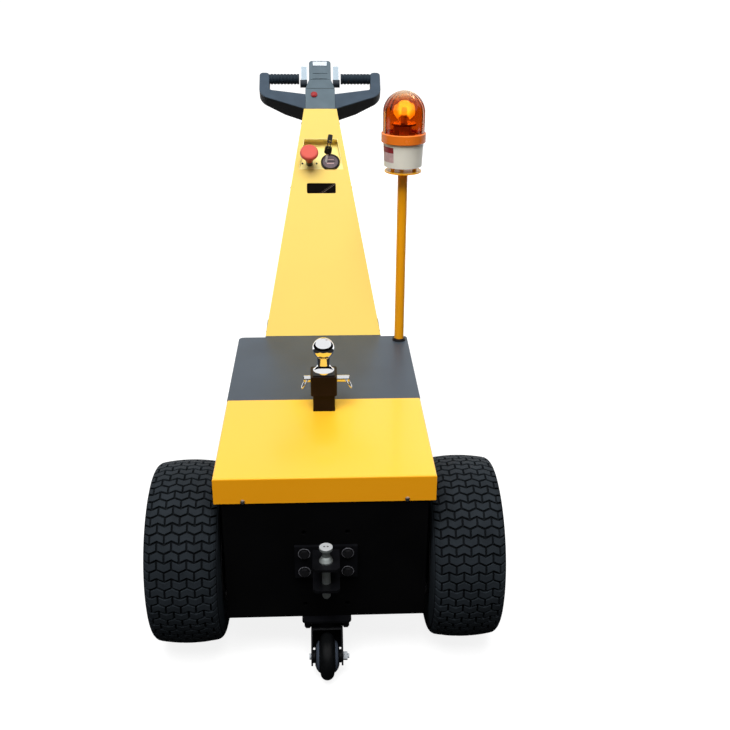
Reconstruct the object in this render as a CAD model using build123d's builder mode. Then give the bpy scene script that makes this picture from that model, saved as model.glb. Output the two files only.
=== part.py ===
# Walk-behind electric tugger with two driven pneumatic wheels, two swivel castors,
# a sheet-metal body, a tow ball, a drop-pin coupling, a control column with a
# two-handed head and a rotating beacon on a pole.
#
# Frame: millimetres, +Z up, the floor at z = 0. The coupling end is -Y and the
# handle end +Y. The origin is the centre of the machine's footprint box.
from build123d import *
from math import cos, radians, sin, tan
import os

os.makedirs("parts", exist_ok=True)

# Clearances
seat_gap = 0.3  # between curved or hidden seats
running_gap = 0.05  # radial, shaft in bore
shaft_play = 0.3  # end play beside a turning piece

# Body: deck, covers and chassis, distances along Y counted from the front cover's face
cover_above_tyre = 12.0
cover_overhang = 15.0
cover_length = 350.0
lid_length = 380.0
flange_height = 59.0
cover_sheet = 3.0
cover_bend = 4.0
lid_corner = 14.0
chassis_width = 424.0
chassis_sheet = 4.0
chassis_floor_z = 126.0
panel_thickness = 8.0
return_flange = 25.0
screw_inset = 59.0
screw_drop = 55.0
screw_head_radius = 5.5
screw_head_height = 3.5

# Drive wheels, 16x6.50-8
tyre_radius = 203.0
tyre_width = 160.0
tyre_side_gap = 10.0
axle_from_front = 149.0
crown_drop = 5.0
shoulder_drop = 18.0
shoulder_inset = 5.0
crown_inset = 22.0
bead_radius = 102.0
rim_flange_radius = 110.0
rim_width = 156.0
rim_sheet = 5.0
rim_flange_thickness = 4.0
disc_radius = 62.0
disc_x = 40.0
disc_dish = 20.0
hub_radius = 32.0
hub_inner_x = -40.0
hub_outer_x = 48.0
wheel_bolt_pcd = 92.0
wheel_bolt_radius = 8.0
wheel_bolt_height = 8.0
shaft_radius = 15.0
axle_tube_radius = 25.0
gearbox_size = (150.0, 200.0)
gearbox_floor_gap = 8.0
gearbox_round = 12.0
axle_washer_radius = 28.0
axle_washer = 4.0
axle_nut_flats = 41.0
axle_nut_height = 16.0

# Battery pack, one plain block under the lid
battery_side_gap = 43.0
battery_front_gap = 60.0
battery_rear_gap = 50.0
battery_headroom = 114.0

# Ball hitch on its post
post_from_front = 314.0
post_size = 50.0
post_wall = 4.0
post_engagement = 12.0
sleeve_size = 60.0
sleeve_above_deck = 40.5
sleeve_height = 47.5
sleeve_corner = 6.0
shank_rise = 2.0
ball_radius = 25.0
ball_above_sleeve = 58.0
ball_neck_radius = 15.0
ball_flange_radius = 24.0
ball_flange = 6.0
cross_pin_radius = 8.0
cross_pin_above_deck = 71.0
cross_pin_left = -46.0
cross_pin_right = 59.0
clip_wire = 1.6
clip_ring = 13.5
clip_inset = 8.0
clip_lean = 30.0

# Drop-pin coupling on the front panel
coupling_reach = 75.0
coupling_plate = (132.0, 78.0, 8.0)
coupling_plate_top_z = 312.0
tongue_width = 56.0
tongue_thickness = 6.0
tongue_top_z = 305.0
tongue_pitch = 52.0
tongue_corner = 7.0
coupling_hole_x = 45.5
coupling_hole_pitch = 46.0
coupling_hole_top_z = 297.0
coupling_hole_radius = 5.25
coupling_washer_radius = 12.5
coupling_washer = 2.5
coupling_head_flats = 16.0
coupling_head_height = 6.4
drop_pin_radius = 9.0
drop_pin_setback = 30.0
drop_pin_tip_z = 214.0
drop_pin_collar_radius = 14.0
drop_pin_collar = 9.0
drop_pin_neck_radius = 8.0
drop_pin_head = 8.0
drop_pin_top_z = 341.0

# Swivel castors
front_castor_inset = 17.0
rear_castor_inset = 90.0
castor_trail = 55.0
castor_radius = 50.0
castor_tread_width = 30.0
castor_hub_radius = 14.0
castor_ring_radius = 35.0
castor_ring_width = 52.0
# How far down the radius and out along the width each corner of the domed ring lies
castor_ring_dome = ((0.1, 0.4), (0.25, 0.75), (0.45, 1.0))
castor_bolt_radius = 5.0
castor_plate = (106.0, 66.0, 5.0)
castor_plate_corner = 10.0
castor_bolt_pitch = (82.0, 45.0)
castor_nut_flats = 13.0
castor_nut_drop = 15.5
castor_axle_flats = 16.0
castor_nut = 9.0
castor_bolt_head = 4.0
castor_head_radius = 6.5
race_radius = 27.0
race_drop = 13.0
fork_inside = 31.0
fork_sheet = 3.5
fork_top_z = 100.5
fork_crown = 5.0
fork_bend = 3.0
crown_lead = 26.0
crown_trail = 24.0
fork_end_radius = 20.0
saddle_gap = 5.5
saddle_sheet = 3.0
saddle_low_angle = 20.0
kingpin_radius = 6.0
kingpin_nut_flats = 16.0
kingpin_nut = 6.0

# Control column, lengths along its sloping face
column_gap = 8.0
column_slope = 60.0
column_length = 637.0
column_width_bottom = 313.0
column_width_top = 91.0
column_depth_bottom = 105.0
column_depth_top = 62.0
column_sheet = 3.0
foot_drop = 177.0
foot_wall = 4.0
foot_heel = 60.0
foot_toe = 45.0
recess_below_top = 85.0
recess_height = 88.0
recess_margin = 13.5
tray_slope = 42.0
tray_wall = 2.0
window_gap = 39.0
window_height = 29.0
window_width = 80.0
window_corner = 4.0

# Controls on the tray, x across and t up the tray
stop_x = -32.0
stop_t = 19.2
stop_cap_radius = 25.2
stop_top_radius = 22.0
stop_height = 57.0
stop_rim = 9.0
stop_cone_start = 26.0
stop_neck_radius = 11.0
stop_stem_radius = 9.5
stop_stem = 17.0
gauge_x = 26.0
gauge_t = 22.3
gauge_radius = 26.5
gauge_height = 6.0
gauge_bezel = 4.5
gauge_chamfer = 2.0
dial_depth = 2.0
key_from_gauge = (-12.5, -1.0)
key_lean = 13.0
key_rise = 22.0
ring_rise = 45.0
key_blade = (6.0, 2.2, 27.0)
key_head = (20.0, 5.0, 23.0)
key_hole_radius = 3.0
key_hole_inset = 5.0
key_ring_radius = 9.5
key_ring_wire = 1.0
tab_size = (13.0, 3.0, 24.0)

# Head on top of the column, u along the head's sloping top
head_slope = 40.0
block_width = 83.0
block_end = 73.0
neck_end = 106.0
pod_width = 62.0
pod_end = 176.0
pod_end_depth = 22.0
pod_depth = 34.0
pod_corner = 9.0
pod_edge = 2.0
head_seam = 1.2
arm_edge = 2.0
pod_slots = (20.0, 48.0, 68.0)
pod_slot = (41.0, 2.4, 1.5)
arm_depths = ((41.5, 54.0), (100.0, 51.0), (146.0, 37.0), (171.0, 30.0))
upright_width = 28.0
upright_end = 132.0
upright_corner = 10.0
elbow_radius = 34.0
arm_outer_rise = (146.0, 40.0)
arm_inner_root = 54.0
arm_inner_end = 70.0
arm_inner_corner = 9.0
grip_radius = 14.5
grip_u = 116.0
grip_drop = 10.0
grip_inner_x = 59.0
grip_ribs = 9
grip_rib_depth = 1.5
throttle_u = 101.0
throttle_drop = 12.0
throttle_hub_radius = 11.0
throttle_hub_end = 56.0
paddle_x = (37.5, 53.0)
paddle_length = 54.0
paddle_thickness = 5.0
paddle_lean = 12.0
horn_x = -17.0
horn_u = 50.0
horn_radius = 9.5
horn_height = 6.0

# Beacon
pole_inset_x = 23.0
pole_inset_y = 26.7
pole_radius = 12.5
pole_height = 457.0
pole_wall = 2.5
pole_collar_radius = 18.0
pole_collar = 7.0
disc_plate_radius = 46.0
disc_plate = 3.0
spacer_height = 12.0
spacer_radius = 5.0
spacer_pcd = 62.0
beacon_base_radius = 50.0
beacon_foot_radius = 47.0
beacon_base_height = 58.0
beacon_ring_radius = 55.0
beacon_ring_height = 24.0
dome_radius = 51.5
dome_wall = 3.0
dome_height = 99.0
lamp_floor = 14.0
lamp_floor_ring = (34.0, 30.0, 4.0)
motor_size = (44.0, 22.0, 22.0)
motor_y = 24.0
lamp_holder_radius = 8.0
lamp_holder_height = 51.0
bulb_radius = 7.0
bulb_height = 20.0
rotor_disc_radius = 30.0
rotor_disc = 4.0
rotor_above_motor = 6.0
dish_radius = 25.0
dish_depth = 20.0
dish_wall = 1.5
dish_setback = 17.0
dish_clearance = 5.0
dish_stay = (12.0, 3.0)

# Places that follow from the sizes above
deck_z = 2 * tyre_radius + cover_above_tyre + flange_height
cover_width = chassis_width + 2 * cover_overhang
screw_x = cover_width / 2 - screw_inset
wheel_x = chassis_width / 2 + tyre_side_gap + tyre_width / 2
pole_x = cover_width / 2 - pole_inset_x
column_from_front = cover_length + lid_length + column_gap
recess_end = column_length - recess_below_top
recess_start = recess_end - recess_height
window_start = recess_start - window_gap - window_height
column_angle = radians(column_slope)
head_angle = radians(head_slope)
handle_reach = (
    column_from_front
    + column_length * cos(column_angle)
    + pod_end * cos(head_angle)
    + pod_end_depth * sin(head_angle)
)
front_reach = max(coupling_reach, castor_trail + castor_radius - front_castor_inset)
front_y = (front_reach - handle_reach) / 2
sleeve_bottom_z = deck_z + sleeve_above_deck
sleeve_top_z = sleeve_bottom_z + sleeve_height
ball_z = sleeve_top_z + ball_above_sleeve
cross_pin_z = deck_z + cross_pin_above_deck
foot_bottom_z = deck_z - foot_drop
pole_top_z = deck_z + pole_height
cover_under_z = deck_z - cover_sheet
cover_bottom_z = deck_z - flange_height
seam_y = front_y + cover_length
lid_rear_y = seam_y + lid_length
panel_y = front_y + cover_sheet
tub_front_y = panel_y + panel_thickness
tub_rear_y = lid_rear_y - cover_sheet - seat_gap
axle_y = front_y + axle_from_front
post_y = front_y + post_from_front
castors = (
    ("front", front_y + front_castor_inset),
    ("rear", lid_rear_y - rear_castor_inset),
)


def facing_front(y):
    """Plane at world y whose normal points to the front and whose own y is up."""
    return Plane.XZ.offset(-y)


def turned(plane, points, mode=Mode.ADD):
    """Turn a closed half section of (radius, height) points about the plane's y axis."""
    with BuildSketch(plane) as section:
        Polygon(*points, align=None)
    revolve(section.sketch, axis=Axis(plane.origin, plane.y_dir), mode=mode)


def upright_section(base, x, y):
    """Plane through a point of base, its x kept and its y along the base's normal."""
    return Plane(origin=base.from_local_coords((x, y, 0)), x_dir=base.x_dir, z_dir=-base.y_dir)


def save(builder, name):
    builder.part.label = name
    export_step(builder.part, f"parts/{name}.step")


# Chassis: a welded tub open at the top and front, with a rail round its rim
with BuildPart() as chassis_tub:
    tub_length = tub_rear_y - tub_front_y
    with BuildSketch(Plane.XY.offset(chassis_floor_z)):
        with Locations((0, tub_front_y + tub_length / 2)):
            Rectangle(chassis_width, tub_length)
    extrude(amount=cover_under_z - chassis_floor_z)
    tub_openings = [chassis_tub.faces().sort_by(Axis.Z)[-1], chassis_tub.faces().sort_by(Axis.Y)[0]]
    offset(amount=-chassis_sheet, openings=tub_openings)
    rail_half = cover_width / 2 - cover_bend
    rail_x = (chassis_width / 2 + rail_half) / 2
    rail_length = tub_length - lid_corner
    with BuildSketch(Plane.XY.offset(cover_under_z)):
        with Locations([(side * rail_x, tub_front_y + rail_length / 2) for side in (-1, 1)]):
            Rectangle(rail_half - chassis_width / 2, rail_length)
    extrude(amount=-chassis_sheet)
    flange_x = chassis_width / 2 - chassis_sheet - return_flange / 2
    flange_z = (chassis_floor_z + cover_under_z) / 2
    with BuildSketch(facing_front(tub_front_y)):
        with Locations((-flange_x, flange_z), (flange_x, flange_z)):
            Rectangle(return_flange, cover_under_z - chassis_floor_z)
    extrude(amount=-chassis_sheet)
    with BuildSketch(Plane.YZ):
        with Locations((axle_y, tyre_radius)):
            Circle(axle_tube_radius + seat_gap)
    extrude(amount=chassis_width, both=True, mode=Mode.SUBTRACT)
    with BuildSketch(Plane.XY.offset(chassis_floor_z)):
        with Locations((0, post_y)):
            Rectangle(post_size + 2 * post_wall, post_size + 2 * post_wall)
            Rectangle(post_size, post_size, mode=Mode.SUBTRACT)
    extrude(amount=chassis_sheet * 4)
save(chassis_tub, "chassis_tub")

# Black front panel with the coupling's ladder of bolt holes
coupling_rows = [coupling_hole_top_z + n * coupling_hole_pitch for n in (1, 0, -1, -3)]
panel_top_z = cover_under_z - cover_bend
with BuildPart() as front_panel:
    with BuildSketch(facing_front(panel_y)):
        with Locations((0, (chassis_floor_z + panel_top_z) / 2)):
            Rectangle(chassis_width, panel_top_z - chassis_floor_z)
        with Locations([(side * coupling_hole_x, z) for side in (-1, 1) for z in coupling_rows]):
            Circle(coupling_hole_radius, mode=Mode.SUBTRACT)
    extrude(amount=-panel_thickness)
save(front_panel, "front_panel")

# Yellow front cover, folded on three sides, with a square hole for the post
with BuildPart() as front_cover:
    with BuildSketch(Plane.XY.offset(cover_bottom_z)):
        with Locations((0, front_y + cover_length / 2)):
            Rectangle(cover_width, cover_length)
    extrude(amount=flange_height)
    cover_top = front_cover.faces().sort_by(Axis.Z)[-1]
    fillet(cover_top.edges().sort_by(Axis.Y)[:-1], radius=cover_bend)
    cover_openings = [front_cover.faces().sort_by(Axis.Z)[0], front_cover.faces().sort_by(Axis.Y)[-1]]
    offset(amount=-cover_sheet, openings=cover_openings)
    with BuildSketch(Plane.XY.offset(deck_z)):
        with Locations((0, post_y)):
            Rectangle(post_size + 2 * seat_gap, post_size + 2 * seat_gap)
    extrude(amount=-flange_height, mode=Mode.SUBTRACT)
save(front_cover, "front_cover")

# Black rear lid, folded on three sides
with BuildPart() as rear_lid:
    with BuildSketch(Plane.XY.offset(cover_bottom_z)):
        with Locations((0, seam_y + lid_length / 2)):
            Rectangle(cover_width, lid_length)
    extrude(amount=flange_height)
    fillet(rear_lid.edges().filter_by(Axis.Z).group_by(Axis.Y)[-1], radius=lid_corner)
    lid_openings = [rear_lid.faces().sort_by(Axis.Z)[0], rear_lid.faces().sort_by(Axis.Y)[0]]
    offset(amount=-cover_sheet, openings=lid_openings)
save(rear_lid, "rear_lid")

# Dome screws through the front cover's flange
with BuildPart() as cover_screws:
    for side in (-1, 1):
        screw_origin = (side * screw_x, front_y, deck_z - screw_drop)
        dome = [
            (0, 0),
            (screw_head_radius, 0),
            (screw_head_radius * 0.8, screw_head_height * 0.7),
            (screw_head_radius * 0.4, screw_head_height),
            (0, screw_head_height),
        ]
        turned(Plane(origin=screw_origin, x_dir=(-1, 0, 0), z_dir=(0, 0, 1)), dome)
save(cover_screws, "cover_screws")

# Driven axle: gearbox block, axle tubes through the tub's sides, stub shafts and nuts
with BuildPart() as drive_axle:
    gearbox_height = 2 * (tyre_radius - chassis_floor_z - chassis_sheet - gearbox_floor_gap)
    with Locations((0, axle_y, tyre_radius)):
        Box(gearbox_size[0], gearbox_size[1], gearbox_height)
    fillet(drive_axle.edges(), radius=gearbox_round)
    tube_end = wheel_x + hub_inner_x - shaft_play
    washer_x = wheel_x + hub_outer_x + shaft_play
    with BuildSketch(Plane.YZ):
        with Locations((axle_y, tyre_radius)):
            Circle(axle_tube_radius)
    extrude(amount=tube_end, both=True)
    with BuildSketch(Plane.YZ):
        with Locations((axle_y, tyre_radius)):
            Circle(shaft_radius)
    extrude(amount=washer_x + axle_washer + axle_nut_height * 1.3, both=True)
    for side in (-1, 1):
        with BuildSketch(Plane.YZ.offset(side * washer_x)):
            with Locations((axle_y, tyre_radius)):
                Circle(axle_washer_radius)
        extrude(amount=side * axle_washer)
        with BuildSketch(Plane.YZ.offset(side * (washer_x + axle_washer))):
            with Locations((axle_y, tyre_radius)):
                RegularPolygon(axle_nut_flats / 2, 6, major_radius=False)
        extrude(amount=side * axle_nut_height)
save(drive_axle, "drive_axle")

# Drive wheels: tyre on a dished steel rim, made once and mirrored
wheel_plane = Plane(origin=(wheel_x, axle_y, tyre_radius), x_dir=(0, 0, 1), z_dir=(0, 1, 0))
rim_half = rim_width / 2
barrel = [
    (bead_radius - rim_sheet, -rim_half + rim_flange_thickness),
    (rim_flange_radius - rim_sheet, -rim_half),
    (rim_flange_radius, -rim_half),
    (rim_flange_radius, -rim_half + rim_flange_thickness),
    (bead_radius, -rim_half + 2 * rim_flange_thickness),
    (bead_radius, rim_half - 2 * rim_flange_thickness),
    (rim_flange_radius, rim_half - rim_flange_thickness),
    (rim_flange_radius, rim_half),
    (rim_flange_radius - rim_sheet, rim_half),
    (bead_radius - rim_sheet, rim_half - rim_flange_thickness),
]
dish = [
    (hub_radius - rim_sheet, disc_x),
    (disc_radius, disc_x),
    (bead_radius - rim_sheet + 1, disc_x - disc_dish),
    (bead_radius - rim_sheet + 1, disc_x - disc_dish - rim_sheet),
    (disc_radius, disc_x - rim_sheet),
    (hub_radius - rim_sheet, disc_x - rim_sheet),
]
hub = [
    (shaft_radius + running_gap, hub_inner_x),
    (hub_radius, hub_inner_x),
    (hub_radius, hub_outer_x),
    (shaft_radius + running_gap, hub_outer_x),
]
with BuildPart() as rim_right:
    turned(wheel_plane, barrel)
    turned(wheel_plane, dish)
    turned(wheel_plane, hub)
    with BuildSketch(Plane.YZ.offset(wheel_x + disc_x)):
        with Locations((axle_y, tyre_radius)):
            with PolarLocations(wheel_bolt_pcd / 2, 4):
                RegularPolygon(wheel_bolt_radius, 6, major_radius=False)
    extrude(amount=wheel_bolt_height)
save(rim_right, "rim_right")

tyre_half = tyre_width / 2
bead_half = rim_half - 2 * rim_flange_thickness - seat_gap
wall_radius = (rim_flange_radius + tyre_radius - shoulder_drop) / 2
shoulder = (tyre_radius - shoulder_drop, tyre_half - shoulder_inset)
shoulder_middle = (tyre_radius - shoulder_drop / 2, tyre_half - crown_inset / 2)
crown_edge = (tyre_radius - crown_drop, tyre_half - crown_inset)
with BuildPart() as tyre_right:
    with BuildSketch(wheel_plane):
        with BuildLine():
            bead = Line((bead_radius + seat_gap, -bead_half), (bead_radius + seat_gap, bead_half))
            lip_out = Line(bead @ 1, (rim_flange_radius + seat_gap, rim_half - rim_flange_thickness))
            wall_out = ThreePointArc(lip_out @ 1, (wall_radius, tyre_half), shoulder)
            shoulder_out = ThreePointArc(wall_out @ 1, shoulder_middle, crown_edge)
            crown = ThreePointArc(shoulder_out @ 1, (tyre_radius, 0), (crown_edge[0], -crown_edge[1]))
            shoulder_in = ThreePointArc(
                crown @ 1, (shoulder_middle[0], -shoulder_middle[1]), (shoulder[0], -shoulder[1])
            )
            wall_in = ThreePointArc(
                shoulder_in @ 1,
                (wall_radius, -tyre_half),
                (rim_flange_radius + seat_gap, rim_flange_thickness - rim_half),
            )
            Line(wall_in @ 1, bead @ 0)
        make_face()
    revolve(axis=Axis(wheel_plane.origin, wheel_plane.y_dir))
save(tyre_right, "tyre_right")

for piece, name in ((rim_right, "rim_left"), (tyre_right, "tyre_left")):
    with BuildPart() as mirrored:
        mirror(piece.part, about=Plane.YZ)
    save(mirrored, name)

# Battery pack
battery_front_y = seam_y + battery_front_gap
battery_rear_y = lid_rear_y - battery_rear_gap
battery_width = chassis_width - 2 * (chassis_sheet + battery_side_gap)
battery_bottom_z = chassis_floor_z + chassis_sheet
with BuildPart() as battery_pack:
    with BuildSketch(Plane.XY.offset(battery_bottom_z)):
        with Locations((0, (battery_front_y + battery_rear_y) / 2)):
            Rectangle(battery_width, battery_rear_y - battery_front_y)
    extrude(amount=cover_under_z - battery_headroom - battery_bottom_z)
    fillet(battery_pack.edges().filter_by(Axis.Z), radius=gearbox_round)
save(battery_pack, "battery_pack")

# Hitch post: a square tube from the floor of the tub up through the cover
post_bottom_z = chassis_floor_z + chassis_sheet
post_top_z = sleeve_bottom_z + post_engagement
with BuildPart() as hitch_post:
    with BuildSketch(Plane.XY.offset(post_bottom_z)):
        with Locations((0, post_y)):
            RectangleRounded(post_size, post_size, post_wall)
            Rectangle(post_size - 2 * post_wall, post_size - 2 * post_wall, mode=Mode.SUBTRACT)
    extrude(amount=post_top_z - post_bottom_z)
save(hitch_post, "hitch_post")

# Sleeve welded over the post's end, with the cross pin's hole
with BuildPart() as hitch_sleeve:
    with BuildSketch(Plane.XY.offset(sleeve_bottom_z)):
        with Locations((0, post_y)):
            RectangleRounded(sleeve_size, sleeve_size, sleeve_corner)
            Rectangle(post_size, post_size, mode=Mode.SUBTRACT)
    extrude(amount=sleeve_top_z - sleeve_bottom_z)
    with BuildSketch(Plane.YZ):
        with Locations((post_y, cross_pin_z)):
            Circle(cross_pin_radius + seat_gap)
    extrude(amount=sleeve_size, both=True, mode=Mode.SUBTRACT)
save(hitch_sleeve, "hitch_sleeve")

# Square shank in the sleeve that carries the ball
shank_top_z = sleeve_top_z + shank_rise
with BuildPart() as ball_shank:
    with BuildSketch(Plane.XY.offset(post_top_z)):
        with Locations((0, post_y)):
            RectangleRounded(post_size, post_size, post_wall)
    extrude(amount=shank_top_z - post_top_z)
    with BuildSketch(Plane.YZ):
        with Locations((post_y, cross_pin_z)):
            Circle(cross_pin_radius + seat_gap)
    extrude(amount=sleeve_size, both=True, mode=Mode.SUBTRACT)
save(ball_shank, "ball_shank")

# Tow ball: flange, waisted neck and ball
ball_plane = Plane(origin=(0, post_y, shank_top_z), x_dir=(1, 0, 0), z_dir=(0, -1, 0))
ball_h = ball_z - shank_top_z
neck_meet = ball_h - (ball_radius**2 - ball_neck_radius**2) ** 0.5
with BuildPart() as tow_ball:
    with BuildSketch(ball_plane):
        with BuildLine():
            foot = Polyline(
                (0, 0),
                (ball_flange_radius, 0),
                (ball_flange_radius, ball_flange * 0.7),
                (ball_flange_radius * 0.9, ball_flange),
            )
            waist = ThreePointArc(
                foot @ 1, (ball_neck_radius * 1.15, ball_flange * 1.9), (ball_neck_radius, ball_flange * 3)
            )
            neck = Line(waist @ 1, (ball_neck_radius, neck_meet))
            ball = ThreePointArc(neck @ 1, (ball_radius, ball_h), (0, ball_h + ball_radius))
            Line(ball @ 1, foot @ 0)
        make_face()
    revolve(axis=Axis(ball_plane.origin, ball_plane.y_dir))
save(tow_ball, "tow_ball")

# Cross pin through sleeve and shank, with a wire ring hanging in a hole near each end
ring_places = (cross_pin_left + clip_inset, cross_pin_right - clip_inset)
ring_sagitta = clip_ring - (clip_ring**2 - cross_pin_radius**2) ** 0.5
with BuildPart() as cross_pin:
    with BuildSketch(Plane.YZ.offset(cross_pin_left)):
        with Locations((post_y, cross_pin_z)):
            Circle(cross_pin_radius)
    extrude(amount=cross_pin_right - cross_pin_left)
    chamfer(cross_pin.edges(), length=cross_pin_radius / 6)
    with BuildSketch(facing_front(post_y)):
        with Locations([(x, cross_pin_z) for x in ring_places]):
            Circle(ring_sagitta / 2 + clip_wire + seat_gap)
    extrude(amount=post_size, both=True, mode=Mode.SUBTRACT)
save(cross_pin, "cross_pin")

with BuildPart() as pin_rings:
    for x, lean in zip(ring_places, (clip_lean, -clip_lean)):
        hanging = Plane(origin=(x, post_y, cross_pin_z)).rotated((0, lean, 0))
        with Locations(hanging.location * Location((0, 0, ring_sagitta / 2 - clip_ring), (0, 90, 0))):
            Torus(clip_ring, clip_wire)
save(pin_rings, "pin_rings")

# Coupling bracket: back plate and two tongues with chamfered noses
plate_front_y = panel_y - coupling_plate[2]
tongue_length = coupling_reach - (front_y - plate_front_y)
pin_y = front_y - coupling_reach + drop_pin_setback
with BuildPart() as coupling_bracket:
    with BuildSketch(facing_front(panel_y)):
        with Locations((0, coupling_plate_top_z - coupling_plate[1] / 2)):
            Rectangle(coupling_plate[0], coupling_plate[1])
        with Locations([(side * coupling_hole_x, z) for side in (-1, 1) for z in coupling_rows[1:3]]):
            Circle(coupling_hole_radius, mode=Mode.SUBTRACT)
    extrude(amount=coupling_plate[2])
    for top_z in (tongue_top_z, tongue_top_z - tongue_pitch):
        with BuildSketch(Plane.XY.offset(top_z)):
            with Locations((0, plate_front_y - tongue_length / 2)):
                Rectangle(tongue_width, tongue_length)
        extrude(amount=-tongue_thickness)
    nose_edges = coupling_bracket.edges().filter_by(Axis.Z).filter_by(lambda e: e.length < tongue_thickness + 1)
    chamfer(nose_edges.group_by(Axis.Y)[0], length=tongue_corner)
    with BuildSketch(Plane.XY.offset(tongue_top_z)):
        with Locations((0, pin_y)):
            Circle(drop_pin_radius + seat_gap)
    extrude(amount=-(tongue_pitch + tongue_thickness), mode=Mode.SUBTRACT)
save(coupling_bracket, "coupling_bracket")

# Bolts with washers that hold the bracket
bolt_face_y = plate_front_y
with BuildPart() as coupling_bolts:
    bolt_places = [(side * coupling_hole_x, z) for side in (-1, 1) for z in coupling_rows[1:3]]
    with BuildSketch(facing_front(bolt_face_y)):
        with Locations(bolt_places):
            Circle(coupling_washer_radius)
    extrude(amount=coupling_washer)
    with BuildSketch(facing_front(bolt_face_y - coupling_washer)):
        with Locations(bolt_places):
            RegularPolygon(coupling_head_flats / 2, 6, major_radius=False)
    extrude(amount=coupling_head_height)
    with BuildSketch(facing_front(bolt_face_y)):
        with Locations(bolt_places):
            Circle(coupling_hole_radius - seat_gap)
    extrude(amount=-(coupling_plate[2] + panel_thickness))
save(coupling_bolts, "coupling_bolts")

# Drop pin: shaft, collar on the upper tongue, waisted neck and head disc
pin_plane = Plane(origin=(0, pin_y, tongue_top_z), x_dir=(1, 0, 0), z_dir=(0, -1, 0))
pin_top = drop_pin_top_z - tongue_top_z
with BuildPart() as drop_pin:
    turned(
        pin_plane,
        [
            (0, drop_pin_tip_z - tongue_top_z),
            (drop_pin_radius * 0.7, drop_pin_tip_z - tongue_top_z),
            (drop_pin_radius, drop_pin_tip_z - tongue_top_z + drop_pin_radius * 0.5),
            (drop_pin_radius, 0),
            (drop_pin_collar_radius, 0),
            (drop_pin_collar_radius, drop_pin_collar * 0.3),
            (drop_pin_neck_radius * 1.3, drop_pin_collar),
            (drop_pin_neck_radius, drop_pin_collar * 1.4),
            (drop_pin_neck_radius, pin_top - drop_pin_head * 1.4),
            (drop_pin_collar_radius, pin_top - drop_pin_head * 0.8),
            (drop_pin_collar_radius, pin_top - 1),
            (drop_pin_collar_radius - 1, pin_top),
            (0, pin_top),
        ],
    )
save(drop_pin, "drop_pin")

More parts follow.
